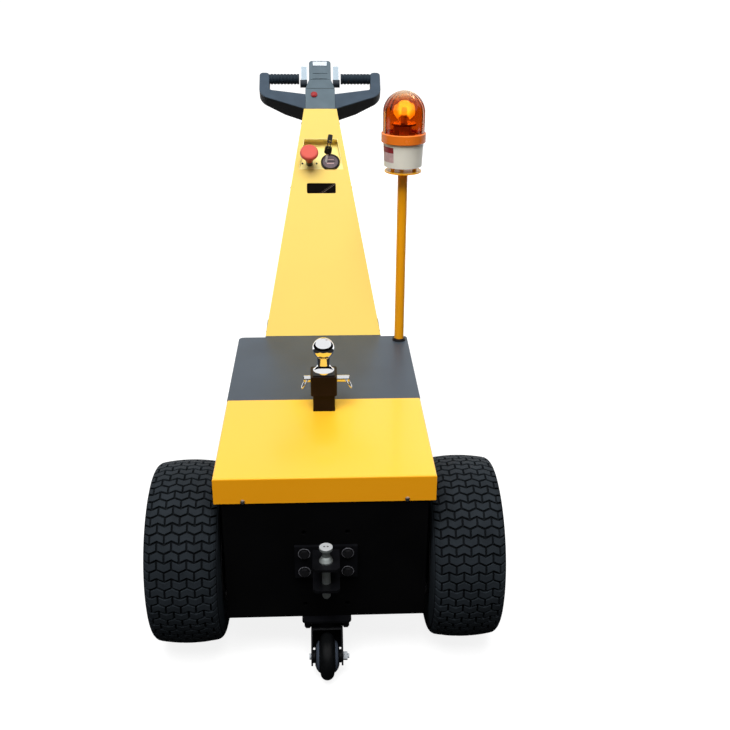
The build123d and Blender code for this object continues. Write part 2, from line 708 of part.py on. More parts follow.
# Swivel castors
plate_bottom_z = chassis_floor_z - castor_plate[2]
race_bottom_z = plate_bottom_z - race_drop
crown_bottom_z = fork_top_z - fork_crown
saddle_middle = castor_radius + saddle_gap + saddle_sheet / 2
saddle_low = (saddle_middle * cos(radians(saddle_low_angle)), saddle_middle * sin(radians(saddle_low_angle)))
for place, swivel_y in castors:
    wheel_y = swivel_y - castor_trail
    with BuildPart() as top_plate:
        with BuildSketch(Plane.XY.offset(chassis_floor_z)):
            with Locations((0, swivel_y)):
                RectangleRounded(castor_plate[0], castor_plate[1], castor_plate_corner)
        extrude(amount=-castor_plate[2])
        with BuildSketch(Plane.XY.offset(plate_bottom_z)):
            with Locations((0, swivel_y)):
                Circle(race_radius)
        extrude(amount=-race_drop)
        with BuildSketch(Plane.XY.offset(plate_bottom_z)):
            with Locations((0, swivel_y)):
                with GridLocations(castor_bolt_pitch[0], castor_bolt_pitch[1], 2, 2):
                    RegularPolygon(castor_nut_flats / 2, 6, major_radius=False)
        extrude(amount=-castor_nut_drop)
        with BuildSketch(Plane.XY.offset(race_bottom_z)):
            with Locations((0, swivel_y)):
                Circle(kingpin_radius)
        extrude(amount=-(race_bottom_z - crown_bottom_z + shaft_play + kingpin_nut))
        with BuildSketch(Plane.XY.offset(crown_bottom_z - shaft_play)):
            with Locations((0, swivel_y)):
                RegularPolygon(kingpin_nut_flats / 2, 6, major_radius=False)
        extrude(amount=-kingpin_nut)
    save(top_plate, f"{place}_castor_plate")

    with BuildPart() as fork:
        fork_outside = fork_inside + fork_sheet
        with BuildSketch(Plane.YZ):
            with Locations((wheel_y, castor_radius)):
                Circle(fork_end_radius)
            with Locations((swivel_y + (crown_lead - crown_trail) / 2, fork_top_z - fork_crown / 2)):
                Rectangle(crown_lead + crown_trail, fork_crown)
            with Locations((wheel_y + saddle_low[0], castor_radius - saddle_low[1])):
                Circle(saddle_sheet / 2)
            make_hull()
        extrude(amount=fork_outside, both=True)
        fillet(fork.edges().group_by(Axis.Z)[-1].filter_by(Axis.Y), radius=fork_bend)
        with BuildSketch(Plane.YZ):
            with Locations((wheel_y, crown_bottom_z)):
                Rectangle(4 * castor_radius, 3 * castor_radius, align=(Align.CENTER, Align.MAX))
            with Locations((wheel_y, castor_radius)):
                Circle(castor_radius + saddle_gap + saddle_sheet, mode=Mode.SUBTRACT)
        extrude(amount=fork_inside, both=True, mode=Mode.SUBTRACT)
        with BuildSketch(Plane.YZ):
            with Locations((wheel_y, castor_radius)):
                Circle(castor_radius + saddle_gap)
        extrude(amount=fork_inside, both=True, mode=Mode.SUBTRACT)
        with BuildSketch(Plane.XY.offset(fork_top_z)):
            with Locations((0, swivel_y)):
                Circle(race_radius - 2)
        extrude(amount=race_bottom_z - shaft_play - fork_top_z)
        with BuildSketch(Plane.XY.offset(race_bottom_z)):
            with Locations((0, swivel_y)):
                Circle(kingpin_radius + running_gap)
        extrude(amount=crown_bottom_z - race_bottom_z, mode=Mode.SUBTRACT)
        with BuildSketch(Plane.YZ.offset(-fork_outside - castor_bolt_head)):
            with Locations((wheel_y, castor_radius)):
                Circle(castor_bolt_radius)
        extrude(amount=2 * fork_outside + castor_bolt_head + castor_nut + castor_bolt_head)
        with BuildSketch(Plane.YZ.offset(-fork_outside)):
            with Locations((wheel_y, castor_radius)):
                Circle(castor_head_radius)
        extrude(amount=-castor_bolt_head)
        with BuildSketch(Plane.YZ.offset(fork_outside)):
            with Locations((wheel_y, castor_radius)):
                RegularPolygon(castor_axle_flats / 2, 6, major_radius=False)
        extrude(amount=castor_nut)
    save(fork, f"{place}_castor_fork")

    with BuildPart() as roller:
        roller_plane = Plane(origin=(0, wheel_y, castor_radius), x_dir=(0, 0, 1), z_dir=(0, 1, 0))
        tread_half = castor_tread_width / 2
        ring_half = castor_ring_width / 2
        side = [
            (castor_ring_radius, tread_half),
            *[
                (castor_ring_radius * (1 - down), tread_half + (ring_half - tread_half) * out)
                for down, out in castor_ring_dome
            ],
            (castor_hub_radius, ring_half),
            (castor_hub_radius, fork_inside - shaft_play),
            (castor_bolt_radius + running_gap, fork_inside - shaft_play),
        ]
        with BuildSketch(roller_plane):
            with BuildLine():
                tread = ThreePointArc(
                    (castor_ring_radius, -tread_half), (castor_radius, 0), (castor_ring_radius, tread_half)
                )
                Polyline(*side, *[(radius, -x) for radius, x in reversed(side)])
            make_face()
        revolve(axis=Axis(roller_plane.origin, roller_plane.y_dir))
    save(roller, f"{place}_castor_wheel")

# Control column: sloping tapered sheet-metal box
column_plane = Plane(
    origin=(0, front_y + column_from_front, deck_z),
    x_dir=(1, 0, 0),
    z_dir=(0, -sin(column_angle), cos(column_angle)),
)


def column_width(s):
    return column_width_bottom + (column_width_top - column_width_bottom) * s / column_length


def column_depth(s):
    return column_depth_bottom + (column_depth_top - column_depth_bottom) * s / column_length


def column_section(s, inset, front_inset):
    """Cross section of the column at s, set in from its sides, back and front."""
    across = upright_section(column_plane, 0, s)
    depth = column_depth(s) - inset
    with BuildSketch(across) as section:
        with Locations((0, -front_inset)):
            Rectangle(column_width(s) - 2 * inset, depth - front_inset, align=(Align.CENTER, Align.MAX))
    return section.sketch


def column_block(inset, front_inset, top):
    """Tapered block of the column from below the deck up to s = top."""
    start = -column_depth_bottom / tan(column_angle) - foot_heel
    with BuildPart() as block:
        loft([column_section(start, inset, front_inset).face(), column_section(top, inset, front_inset).face()])
        split(bisect_by=Plane.XY.offset(deck_z), keep=Keep.TOP)
    return block.part


def recess_outline(start, end, grow):
    """Trapezoid of the recess between two heights, following the column's taper."""
    half_start = column_width(start) / 2 - recess_margin + grow
    half_end = column_width(end) / 2 - recess_margin + grow
    return [(-half_start, start), (half_start, start), (half_end, end), (-half_end, end)]


envelope = column_block(0, 0, column_length)
hollow = column_block(column_sheet, column_sheet, column_length - column_sheet)
with BuildPart() as column_shell:
    add(envelope)
    add(hollow, mode=Mode.SUBTRACT)
    with BuildSketch(column_plane):
        Polygon(*recess_outline(recess_start, recess_end, 0), align=None)
        with Locations((0, window_start + window_height / 2)):
            RectangleRounded(window_width, window_height, window_corner)
    extrude(amount=-column_sheet - 1, mode=Mode.SUBTRACT)
save(column_shell, "column_shell")

# Smoked window over the battery display
with BuildPart() as display_window:
    with BuildSketch(column_plane.offset(-1)):
        with Locations((0, window_start + window_height / 2)):
            RectangleRounded(window_width - 2 * seat_gap, window_height - 2 * seat_gap, window_corner)
    extrude(amount=-column_sheet)
save(display_window, "display_window")

# Foot that carries the column on the chassis' rear wall
foot_back_y = front_y + column_from_front + column_depth_bottom / sin(column_angle)
foot_front_y = lid_rear_y + seat_gap
with BuildPart() as column_foot:
    with BuildSketch(Plane.YZ):
        Polygon(
            (tub_rear_y, foot_bottom_z),
            (tub_rear_y + foot_toe, foot_bottom_z),
            (foot_back_y, deck_z - foot_heel),
            (foot_back_y, deck_z),
            (foot_front_y, deck_z),
            (foot_front_y, cover_bottom_z - seat_gap),
            (tub_rear_y, cover_bottom_z - seat_gap),
            align=None,
        )
    extrude(amount=column_width_bottom / 2, both=True)
    with BuildSketch(Plane.YZ):
        Polygon(
            (foot_front_y + foot_wall, foot_bottom_z + foot_wall),
            (tub_rear_y + foot_toe - foot_wall, foot_bottom_z + foot_wall),
            (foot_back_y - foot_wall, deck_z - foot_heel),
            (foot_back_y - foot_wall, deck_z - foot_wall),
            (foot_front_y + foot_wall, deck_z - foot_wall),
            align=None,
        )
    extrude(amount=column_width_bottom / 2 - foot_wall, both=True, mode=Mode.SUBTRACT)
save(column_foot, "column_foot")

# Control tray: a folded pocket behind the recess, its floor less steep than the column
tray_angle = radians(tray_slope)
tray_origin = column_plane.from_local_coords((0, recess_start, 0))
tray_plane = Plane(origin=tray_origin, x_dir=(1, 0, 0), z_dir=(0, -sin(tray_angle), cos(tray_angle)))
tray_dip = column_angle - tray_angle
tray_reach = recess_height * tan(tray_dip) + 3 * tray_wall
with BuildPart(mode=Mode.PRIVATE) as pocket:
    with BuildSketch(column_plane.offset(column_sheet)):
        Polygon(*recess_outline(recess_start, recess_end - tray_wall, -tray_wall), align=None)
    extrude(amount=-(column_sheet + tray_reach))
    split(bisect_by=tray_plane, keep=Keep.TOP)
with BuildPart() as control_tray:
    with BuildSketch(column_plane):
        Polygon(*recess_outline(recess_start + seat_gap, recess_end - seat_gap, -seat_gap), align=None)
    extrude(amount=-tray_reach)
    split(bisect_by=tray_plane.offset(-tray_wall), keep=Keep.TOP)
    add(pocket.part, mode=Mode.SUBTRACT)
save(control_tray, "control_tray")

# Emergency stop: collar, stem and mushroom cap
stop_plane = upright_section(tray_plane, stop_x, stop_t)
rim_bottom = stop_height - stop_rim
with BuildPart() as stop_button:
    with BuildSketch(stop_plane):
        with BuildLine():
            stem = Polyline(
                (0, 0),
                (stop_stem_radius, 0),
                (stop_stem_radius, stop_stem),
                (stop_neck_radius, stop_stem + 1),
                (stop_neck_radius, stop_cone_start),
            )
            cone = ThreePointArc(
                stem @ 1,
                ((stop_neck_radius + stop_cap_radius) / 2, (stop_cone_start + rim_bottom) / 2 + 1),
                (stop_cap_radius, rim_bottom),
            )
            rim = ThreePointArc(
                cone @ 1,
                (stop_cap_radius - 0.4, rim_bottom + stop_rim / 2),
                (stop_top_radius, stop_height - 1),
            )
            top = Polyline(rim @ 1, (stop_top_radius - 2, stop_height), (0, stop_height))
            Line(top @ 1, stem @ 0)
        make_face()
    revolve(axis=Axis(stop_plane.origin, stop_plane.y_dir))
save(stop_button, "stop_button")

# Round gauge, cut straight where it meets the fold of the tray, with the key switch in it
gauge_plane = upright_section(tray_plane, gauge_x, gauge_t)
gauge_fold = Plane(
    origin=tray_plane.from_local_coords((0, seat_gap, 0)), x_dir=(1, 0, 0), z_dir=tray_plane.y_dir
)
dial_z = gauge_height - dial_depth
with BuildPart() as key_gauge:
    turned(
        gauge_plane,
        [
            (0, 0),
            (gauge_radius, 0),
            (gauge_radius, dial_z),
            (gauge_radius - gauge_chamfer, gauge_height),
            (gauge_radius - gauge_bezel, gauge_height),
            (gauge_radius - gauge_bezel - 1, dial_z),
            (0, dial_z),
        ],
    )
    split(bisect_by=gauge_fold, keep=Keep.TOP)
save(key_gauge, "key_gauge")

# Key in the switch, its split ring and a flat tab on the ring
key_place = (gauge_x + key_from_gauge[0], gauge_t + key_from_gauge[1], dial_z)
key_axis = Plane(tray_plane.from_local_coords(key_place), x_dir=(1, 0, 0), z_dir=tray_plane.z_dir)
key_plane = key_axis.rotated((-key_rise, key_lean, 0))
key_length = key_blade[2] + key_head[2]
ring_hole = key_length - key_hole_inset
ring_plane = key_plane.offset(ring_hole).rotated((-ring_rise, 0, 0))
tab_hole_plane = ring_plane.offset(2 * key_ring_radius)
with BuildPart() as ignition_key:
    with BuildSketch(key_plane):
        Rectangle(key_blade[0], key_blade[1])
    extrude(amount=key_blade[2])
    with BuildSketch(Plane(key_plane.origin, x_dir=key_plane.x_dir, z_dir=-key_plane.y_dir)):
        with Locations((0, key_blade[2] + key_head[2] / 2)):
            RectangleRounded(key_head[0], key_head[2], key_head[0] / 3)
        with Locations((0, ring_hole)):
            Circle(key_hole_radius, mode=Mode.SUBTRACT)
    extrude(amount=key_head[1] / 2, both=True)
    with BuildSketch(Plane(tab_hole_plane.origin, x_dir=ring_plane.x_dir, z_dir=-ring_plane.y_dir)):
        with Locations((0, tab_size[2] / 2 - key_hole_inset)):
            RectangleRounded(tab_size[0], tab_size[2], tab_size[0] / 4)
        Circle(key_hole_radius, mode=Mode.SUBTRACT)
    extrude(amount=tab_size[1] / 2, both=True)
    with Locations(ring_plane.offset(key_ring_radius).rotated((0, 90, 0)).location):
        Torus(key_ring_radius, key_ring_wire)
save(ignition_key, "ignition_key")

# Head on the column
head_plane = Plane(
    origin=column_plane.from_local_coords((0, column_length, 0)),
    x_dir=(1, 0, 0),
    z_dir=(0, -sin(head_angle), cos(head_angle)),
)
head_side = Plane(origin=head_plane.origin, x_dir=head_plane.y_dir, z_dir=(1, 0, 0))
seat_back = head_side.to_local_coords(column_plane.from_local_coords((0, column_length, -column_depth_top)))
with BuildPart() as head_housing:
    with BuildSketch(head_side):
        Polygon(
            (0, 0),
            (neck_end, 0),
            (neck_end, -pod_depth),
            (block_end * 0.8, seat_back.Y),
            (seat_back.X, seat_back.Y),
            align=None,
        )
    extrude(amount=block_width / 2, both=True)
    with BuildSketch(head_plane.offset(1)):
        Polygon(
            (-block_width / 2, 0),
            (block_width / 2, 0),
            (block_width / 2, block_end),
            (pod_width / 2, neck_end),
            (-pod_width / 2, neck_end),
            (-block_width / 2, block_end),
            align=None,
        )
    extrude(amount=seat_back.Y * 1.5, mode=Mode.INTERSECT)
    head_top = head_housing.faces().sort_by(Axis(head_plane.origin, head_plane.z_dir))[-1]
    fillet(head_top.edges(), radius=head_seam)
save(head_housing, "head_housing")

# Control pod beyond the neck, with three slots across its top
with BuildPart() as control_pod:
    with BuildSketch(head_side):
        Polygon(
            (neck_end, 0),
            (pod_end, 0),
            (pod_end, -pod_end_depth),
            (neck_end, -pod_depth),
            align=None,
        )
    extrude(amount=pod_width / 2, both=True)
    pod_corners = control_pod.edges().filter_by(lambda e: abs(e.length - pod_end_depth) < 0.1)
    fillet(pod_corners, radius=pod_corner)
    pod_top = control_pod.faces().sort_by(Axis(head_plane.origin, head_plane.z_dir))[-1]
    fillet(pod_top.edges(), radius=pod_edge)
    with BuildSketch(head_plane):
        with Locations([(0, pod_end - place) for place in pod_slots]):
            SlotOverall(pod_slot[0], pod_slot[1])
    extrude(amount=-pod_slot[2], mode=Mode.SUBTRACT)
save(control_pod, "control_pod")

# Arms with uprights, cut clear of the column's sides
upright_inner = arm_depths[-1][0] - upright_width
arm_root_x = block_width / 2
elbow_u = arm_outer_rise[1] * (arm_depths[-1][0] - arm_root_x) / (arm_outer_rise[0] - arm_root_x)
arm_across = upright_section(head_plane, 0, -elbow_u)
with BuildPart() as column_clearance:
    loft(
        [
            column_section(0, -seat_gap, 0).face(),
            column_section(column_length, -seat_gap, 0).face(),
        ]
    )
with BuildPart() as arm_right:
    with BuildSketch(head_plane):
        with BuildLine():
            Polyline(
                (arm_root_x, 0),
                (arm_depths[-1][0], elbow_u),
                (arm_depths[-1][0], upright_end),
                (upright_inner, upright_end),
                (upright_inner, arm_inner_end),
                (arm_root_x, arm_inner_root),
                close=True,
            )
        make_face()
    extrude(amount=-arm_depths[0][1])
    upright_edges = arm_right.edges().filter_by(Axis(head_plane.origin, head_plane.z_dir))
    local_x = lambda e: head_plane.to_local_coords(e.center()).X
    local_u = lambda e: head_plane.to_local_coords(e.center()).Y
    elbow_edges = [e for e in upright_edges if local_x(e) > upright_inner + 1 and local_u(e) < upright_end / 2]
    fillet(elbow_edges, radius=elbow_radius)
    upright_edges = arm_right.edges().filter_by(Axis(head_plane.origin, head_plane.z_dir))
    fillet([e for e in upright_edges if local_u(e) > upright_end - 1], radius=upright_corner)
    upright_edges = arm_right.edges().filter_by(Axis(head_plane.origin, head_plane.z_dir))
    half_way = (arm_inner_end + upright_end) / 2
    inner_edges = [e for e in upright_edges if abs(local_x(e) - upright_inner) < 1 and local_u(e) < half_way]
    fillet(inner_edges, radius=arm_inner_corner)
    underside = [(x, -depth) for x, depth in arm_depths]
    with BuildSketch(arm_across):
        Polygon((arm_root_x, 1), *underside, (arm_depths[-1][0], 1), align=None)
    extrude(amount=-2 * pod_end, both=True, mode=Mode.INTERSECT)
    add(column_clearance.part, mode=Mode.SUBTRACT)
    arm_top = arm_right.faces().sort_by(Axis(head_plane.origin, head_plane.z_dir))[-1]
    fillet(arm_top.edges(), radius=arm_edge)
save(arm_right, "arm_right")

# Ribbed grips between the uprights and the throttle hubs
grip_origin = head_plane.from_local_coords((0, grip_u, -grip_drop))
grip_plane = Plane(origin=grip_origin, x_dir=head_plane.z_dir, z_dir=-head_plane.y_dir)
grip_length = upright_inner - grip_inner_x
rib_pitch = grip_length / grip_ribs
with BuildPart() as grip_right:
    outline = [(0, grip_inner_x)]
    for rib in range(grip_ribs):
        rib_x = grip_inner_x + rib * rib_pitch
        outline.append((grip_radius, rib_x))
        outline.append((grip_radius, rib_x + rib_pitch * 0.6))
        outline.append((grip_radius - grip_rib_depth, rib_x + rib_pitch * 0.7))
        outline.append((grip_radius - grip_rib_depth, rib_x + rib_pitch * 0.9))
    outline.append((grip_radius, upright_inner - rib_pitch * 0.02))
    outline.append((grip_radius, upright_inner))
    outline.append((0, upright_inner))
    turned(grip_plane, outline)
save(grip_right, "grip_right")

# Throttle: a hub on the pod's side with a leaning paddle
throttle_origin = head_plane.from_local_coords((0, throttle_u, -throttle_drop))
neck_taper = (block_width - pod_width) / 2 / (neck_end - block_end)
hub_start = pod_width / 2 + neck_taper * (neck_end - throttle_u + throttle_hub_radius) + seat_gap
with BuildPart() as throttle_right:
    hub_plane = Plane(origin=throttle_origin, x_dir=head_plane.y_dir, z_dir=(1, 0, 0))
    with BuildSketch(hub_plane.offset(hub_start)):
        Circle(throttle_hub_radius)
    extrude(amount=throttle_hub_end - hub_start)
    with BuildSketch(hub_plane.offset(paddle_x[0])):
        with Locations(Location((0, 0, 0), (0, 0, paddle_lean))):
            with Locations((paddle_length / 2, 0)):
                RectangleRounded(paddle_length, paddle_thickness, paddle_thickness / 2.2)
    extrude(amount=paddle_x[1] - paddle_x[0])
save(throttle_right, "throttle_right")

for piece, name in ((arm_right, "arm_left"), (grip_right, "grip_left"), (throttle_right, "throttle_left")):
    with BuildPart() as mirrored:
        mirror(piece.part, about=Plane.YZ)
    save(mirrored, name)

# Horn button
with BuildPart() as horn_button:
    turned(
        upright_section(head_plane, horn_x, horn_u),
        [
            (0, 0),
            (horn_radius, 0),
            (horn_radius, horn_height * 0.5),
            (horn_radius * 0.7, horn_height * 0.9),
            (0, horn_height),
        ],
    )
save(horn_button, "horn_button")

# Beacon pole with its collar on the lid
pole_y = lid_rear_y - pole_inset_y
pole_plane = Plane(origin=(pole_x, pole_y, deck_z), x_dir=(1, 0, 0), z_dir=(0, -1, 0))
with BuildPart() as beacon_pole:
    turned(
        pole_plane,
        [
            (pole_radius - pole_wall, 0),
            (pole_radius, 0),
            (pole_radius, pole_top_z - deck_z),
            (pole_radius - pole_wall, pole_top_z - deck_z),
        ],
    )
save(beacon_pole, "beacon_pole")

with BuildPart() as pole_collar_ring:
    turned(
        pole_plane,
        [
            (pole_radius + seat_gap, 0),
            (pole_collar_radius, 0),
            (pole_collar_radius - 2, pole_collar),
            (pole_radius + seat_gap, pole_collar),
        ],
    )
save(pole_collar_ring, "pole_collar")

# Beacon plate on the pole with spacers up to the lamp
base_z = pole_top_z + disc_plate + spacer_height
with BuildPart() as beacon_plate:
    with BuildSketch(Plane.XY.offset(pole_top_z)):
        with Locations((pole_x, pole_y)):
            Circle(disc_plate_radius)
    extrude(amount=disc_plate)
    with BuildSketch(Plane.XY.offset(pole_top_z + disc_plate)):
        with Locations((pole_x, pole_y)):
            with PolarLocations(spacer_pcd / 2, 3, start_angle=90):
                Circle(spacer_radius)
    extrude(amount=spacer_height)
save(beacon_plate, "beacon_plate")

with BuildPart() as beacon_base:
    base_plane = Plane(origin=(pole_x, pole_y, base_z), x_dir=(1, 0, 0), z_dir=(0, -1, 0))
    turned(
        base_plane,
        [
            (0, 0),
            (beacon_foot_radius, 0),
            (beacon_base_radius, beacon_base_height),
            (0, beacon_base_height),
        ],
    )
save(beacon_base, "beacon_base")

ring_z = base_z + beacon_base_height
with BuildPart() as beacon_ring:
    turned(
        Plane(origin=(pole_x, pole_y, ring_z), x_dir=(1, 0, 0), z_dir=(0, -1, 0)),
        [
            (dome_radius - 2 * dome_wall, 0),
            (beacon_ring_radius - 2, 0),
            (beacon_ring_radius, 2),
            (beacon_ring_radius, beacon_ring_height - 2),
            (beacon_ring_radius - 2, beacon_ring_height),
            (dome_radius - 2 * dome_wall, beacon_ring_height),
        ],
    )
save(beacon_ring, "beacon_ring")

# Dome: a straight wall closed by a half ball
dome_z = ring_z + beacon_ring_height
dome_straight = dome_height - dome_radius
with BuildPart() as beacon_dome:
    dome_plane = Plane(origin=(pole_x, pole_y, dome_z), x_dir=(1, 0, 0), z_dir=(0, -1, 0))
    inner_radius = dome_radius - dome_wall
    with BuildSketch(dome_plane):
        with BuildLine():
            outer_wall = Line((dome_radius, 0), (dome_radius, dome_straight))
            outer_arc = RadiusArc(outer_wall @ 1, (0, dome_height), -dome_radius)
            crown_line = Line(outer_arc @ 1, (0, dome_height - dome_wall))
            inner_arc = RadiusArc(crown_line @ 1, (inner_radius, dome_straight), inner_radius)
            inner_wall = Line(inner_arc @ 1, (inner_radius, 0))
            Line(inner_wall @ 1, outer_wall @ 0)
        make_face()
    revolve(axis=Axis(dome_plane.origin, dome_plane.y_dir))
save(beacon_dome, "beacon_dome")

# Lamp's floor with the motor beside the bulb's holder
floor_top_z = ring_z + lamp_floor
motor_top_z = floor_top_z + motor_size[2]
rotor_z = motor_top_z + rotor_above_motor
holder_top_z = floor_top_z + lamp_holder_height
bulb_z = holder_top_z + bulb_height / 2
with BuildPart() as beacon_motor:
    turned(
        Plane(origin=(pole_x, pole_y, ring_z), x_dir=(1, 0, 0), z_dir=(0, -1, 0)),
        [
            (0, 0),
            (dome_radius - 2 * dome_wall - seat_gap, 0),
            (dome_radius - 2 * dome_wall - seat_gap, lamp_floor),
            (lamp_floor_ring[0], lamp_floor),
            (lamp_floor_ring[0], lamp_floor + lamp_floor_ring[2]),
            (lamp_floor_ring[1], lamp_floor + lamp_floor_ring[2]),
            (lamp_floor_ring[1], lamp_floor),
            (lamp_holder_radius * 1.5, lamp_floor),
            (lamp_holder_radius * 1.5, rotor_z - shaft_play - ring_z),
            (lamp_holder_radius, rotor_z - shaft_play - ring_z),
            (lamp_holder_radius, holder_top_z - ring_z),
            (bulb_radius, holder_top_z - ring_z),
            (bulb_radius, holder_top_z + bulb_height * 0.7 - ring_z),
            (bulb_radius * 0.7, holder_top_z + bulb_height * 0.93 - ring_z),
            (0, holder_top_z + bulb_height - ring_z),
        ],
    )
    with Locations((pole_x, pole_y + motor_y, floor_top_z)):
        Box(*motor_size, align=(Align.CENTER, Align.CENTER, Align.MIN))
save(beacon_motor, "beacon_motor")

# Reflector: a disc round the holder, a stay and a dish open to the front
with BuildPart() as beacon_reflector:
    dish_plane = Plane(origin=(pole_x, pole_y + dish_setback, bulb_z), x_dir=(1, 0, 0), z_dir=(0, 0, -1))
    with BuildSketch(dish_plane):
        with BuildLine():
            inner = ThreePointArc((0, 0), (dish_radius / 2, dish_depth / 4), (dish_radius, dish_depth))
            rim_line = Line(inner @ 1, (dish_radius + dish_wall, dish_depth))
            outer = ThreePointArc(
                rim_line @ 1,
                (dish_radius / 2 + dish_wall * 0.7, dish_depth / 4 - dish_wall * 0.7),
                (0, -dish_wall),
            )
            Line(outer @ 1, inner @ 0)
        make_face()
    revolve(axis=Axis(dish_plane.origin, dish_plane.y_dir))
    with BuildSketch(Plane.XY.offset(bulb_z)):
        with Locations((pole_x, pole_y)):
            Circle(lamp_holder_radius + dish_clearance)
    extrude(amount=-2 * dish_radius, mode=Mode.SUBTRACT)
    with Locations((pole_x, pole_y + dish_setback + dish_stay[1] / 2, rotor_z)):
        Box(*dish_stay, bulb_z + bulb_radius - rotor_z, align=(Align.CENTER, Align.CENTER, Align.MIN))
    with BuildSketch(Plane.XY.offset(rotor_z)):
        with Locations((pole_x, pole_y)):
            Circle(rotor_disc_radius)
            Circle(lamp_holder_radius + running_gap, mode=Mode.SUBTRACT)
    extrude(amount=rotor_disc)
save(beacon_reflector, "beacon_reflector")
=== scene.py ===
# Walk-behind electric tugger: procedural finishes, turf tread, small details, studio and camera.
from math import atan2, cos, hypot, pi, radians, sin

import bpy
from mathutils import Matrix, Vector


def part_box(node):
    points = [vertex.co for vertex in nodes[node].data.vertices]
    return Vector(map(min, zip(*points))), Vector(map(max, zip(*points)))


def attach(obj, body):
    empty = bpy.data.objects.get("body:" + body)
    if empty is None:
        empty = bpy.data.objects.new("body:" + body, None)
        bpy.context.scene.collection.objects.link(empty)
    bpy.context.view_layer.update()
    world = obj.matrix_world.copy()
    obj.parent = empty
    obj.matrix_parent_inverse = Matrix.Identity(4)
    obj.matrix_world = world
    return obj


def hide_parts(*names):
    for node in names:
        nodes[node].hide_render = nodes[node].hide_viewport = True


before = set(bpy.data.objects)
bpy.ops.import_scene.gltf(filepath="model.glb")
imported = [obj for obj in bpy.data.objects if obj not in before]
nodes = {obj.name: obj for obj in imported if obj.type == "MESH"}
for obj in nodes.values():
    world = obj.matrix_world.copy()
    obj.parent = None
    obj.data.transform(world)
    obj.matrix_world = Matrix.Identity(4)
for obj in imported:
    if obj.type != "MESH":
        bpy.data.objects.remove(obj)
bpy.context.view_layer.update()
MM = 0.001
X_AXIS = Vector((1.0, 0.0, 0.0))
Y_AXIS = Vector((0.0, 1.0, 0.0))


def middle(node):
    """Middle of a node's box, in millimetres."""
    low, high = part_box(node)
    return [(first + last) / 2 / MM for first, last in zip(low, high)]


class Slope:
    """A sloping plane across X, in millimetres: s runs up the slope and h stands off it."""

    def __init__(self, y, z, degrees):
        self.y, self.z, self.angle = y, z, radians(degrees)
        self.up = (0.0, cos(self.angle), sin(self.angle))
        self.off = (0.0, -sin(self.angle), cos(self.angle))

    def at(self, x, s, h=0.0):
        """A point on or off the slope, in metres."""
        y = self.y + s * cos(self.angle) - h * sin(self.angle)
        z = self.z + s * sin(self.angle) + h * cos(self.angle)
        return Vector((x, y, z)) * MM


# Places on the machine that the details need, in millimetres and degrees
tyre_low, tyre_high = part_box("tyre_right")
tyre_x, axle_y, _ = middle("tyre_right")
tyre_radius = (tyre_high[2] - tyre_low[2]) / 2 / MM
tyre_half = (tyre_high[0] - tyre_low[0]) / 2 / MM
lid_rear_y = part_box("rear_lid")[1][1] / MM
deck_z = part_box("front_cover")[1][2] / MM
COLUMN_SETBACK, COLUMN_LENGTH, RECESS_START = 8.0, 637.0, 464.0
COLUMN_LEAN, TRAY_LEAN, HEAD_LEAN = 60.0, 42.0, 40.0
column = Slope(lid_rear_y + COLUMN_SETBACK, deck_z, COLUMN_LEAN)
tray_foot = column.at(0.0, RECESS_START) / MM
tray = Slope(tray_foot.y, tray_foot.z, TRAY_LEAN)
head_foot = column.at(0.0, COLUMN_LENGTH) / MM
head = Slope(head_foot.y, head_foot.z, HEAD_LEAN)


def clamp01(value):
    return max(0.0, min(1.0, value))


def shade(colour, factor):
    return tuple(clamp01(c * factor) for c in colour) + (1.0,)


def maths(operation):
    """A function that adds one maths node to a tree; each input is a socket or a number."""

    def result_of(tree, first, second=None):
        node = tree.nodes.new("ShaderNodeMath")
        node.operation = operation
        for socket, value in zip(node.inputs, (first, second)):
            if value is None:
                continue
            if isinstance(value, (int, float)):
                socket.default_value = value
            else:
                tree.links.new(value, socket)
        return node.outputs[0]

    return result_of


add, subtract, multiply = maths("ADD"), maths("SUBTRACT"), maths("MULTIPLY")
below, above, largest = maths("LESS_THAN"), maths("GREATER_THAN"), maths("MAXIMUM")
absolute, square_root, sine, angle_of = maths("ABSOLUTE"), maths("SQRT"), maths("SINE"), maths("ARCTAN2")


def diagonal(tree, first, second):
    """Distance from its two parts at right angles."""
    return square_root(tree, add(tree, multiply(tree, first, first), multiply(tree, second, second)))


def ramp_between(tree, value, first, last, low=0.0, high=1.0):
    """The low number at the first value, changing to the high one at the last."""
    ramp = tree.nodes.new("ShaderNodeMapRange")
    ramp.inputs["From Min"].default_value = first
    ramp.inputs["From Max"].default_value = last
    ramp.inputs["To Min"].default_value = low
    ramp.inputs["To Max"].default_value = high
    tree.links.new(value, ramp.inputs["Value"])
    return ramp.outputs["Result"]


def coordinates(tree, kind="Object"):
    """The three parts of a place on the object, or of another texture coordinate."""
    place = tree.nodes.new("ShaderNodeTexCoord")
    apart = tree.nodes.new("ShaderNodeSeparateXYZ")
    tree.links.new(place.outputs[kind], apart.inputs[0])
    return apart.outputs["X"], apart.outputs["Y"], apart.outputs["Z"]


def noise(tree, scale, detail):
    """Noise in object space."""
    place = tree.nodes.new("ShaderNodeTexCoord")
    cloud = tree.nodes.new("ShaderNodeTexNoise")
    cloud.inputs["Scale"].default_value = scale
    cloud.inputs["Detail"].default_value = detail
    tree.links.new(place.outputs["Object"], cloud.inputs["Vector"])
    return cloud.outputs["Fac"]


def shader_of(material):
    return material.node_tree.nodes["Principled BSDF"]


def raise_surface(material, height, strength, distance):
    """Lets a height bump the material's surface."""
    tree = material.node_tree
    relief = tree.nodes.new("ShaderNodeBump")
    relief.inputs["Strength"].default_value = strength
    relief.inputs["Distance"].default_value = distance
    tree.links.new(height, relief.inputs["Height"])
    tree.links.new(relief.outputs["Normal"], shader_of(material).inputs["Normal"])


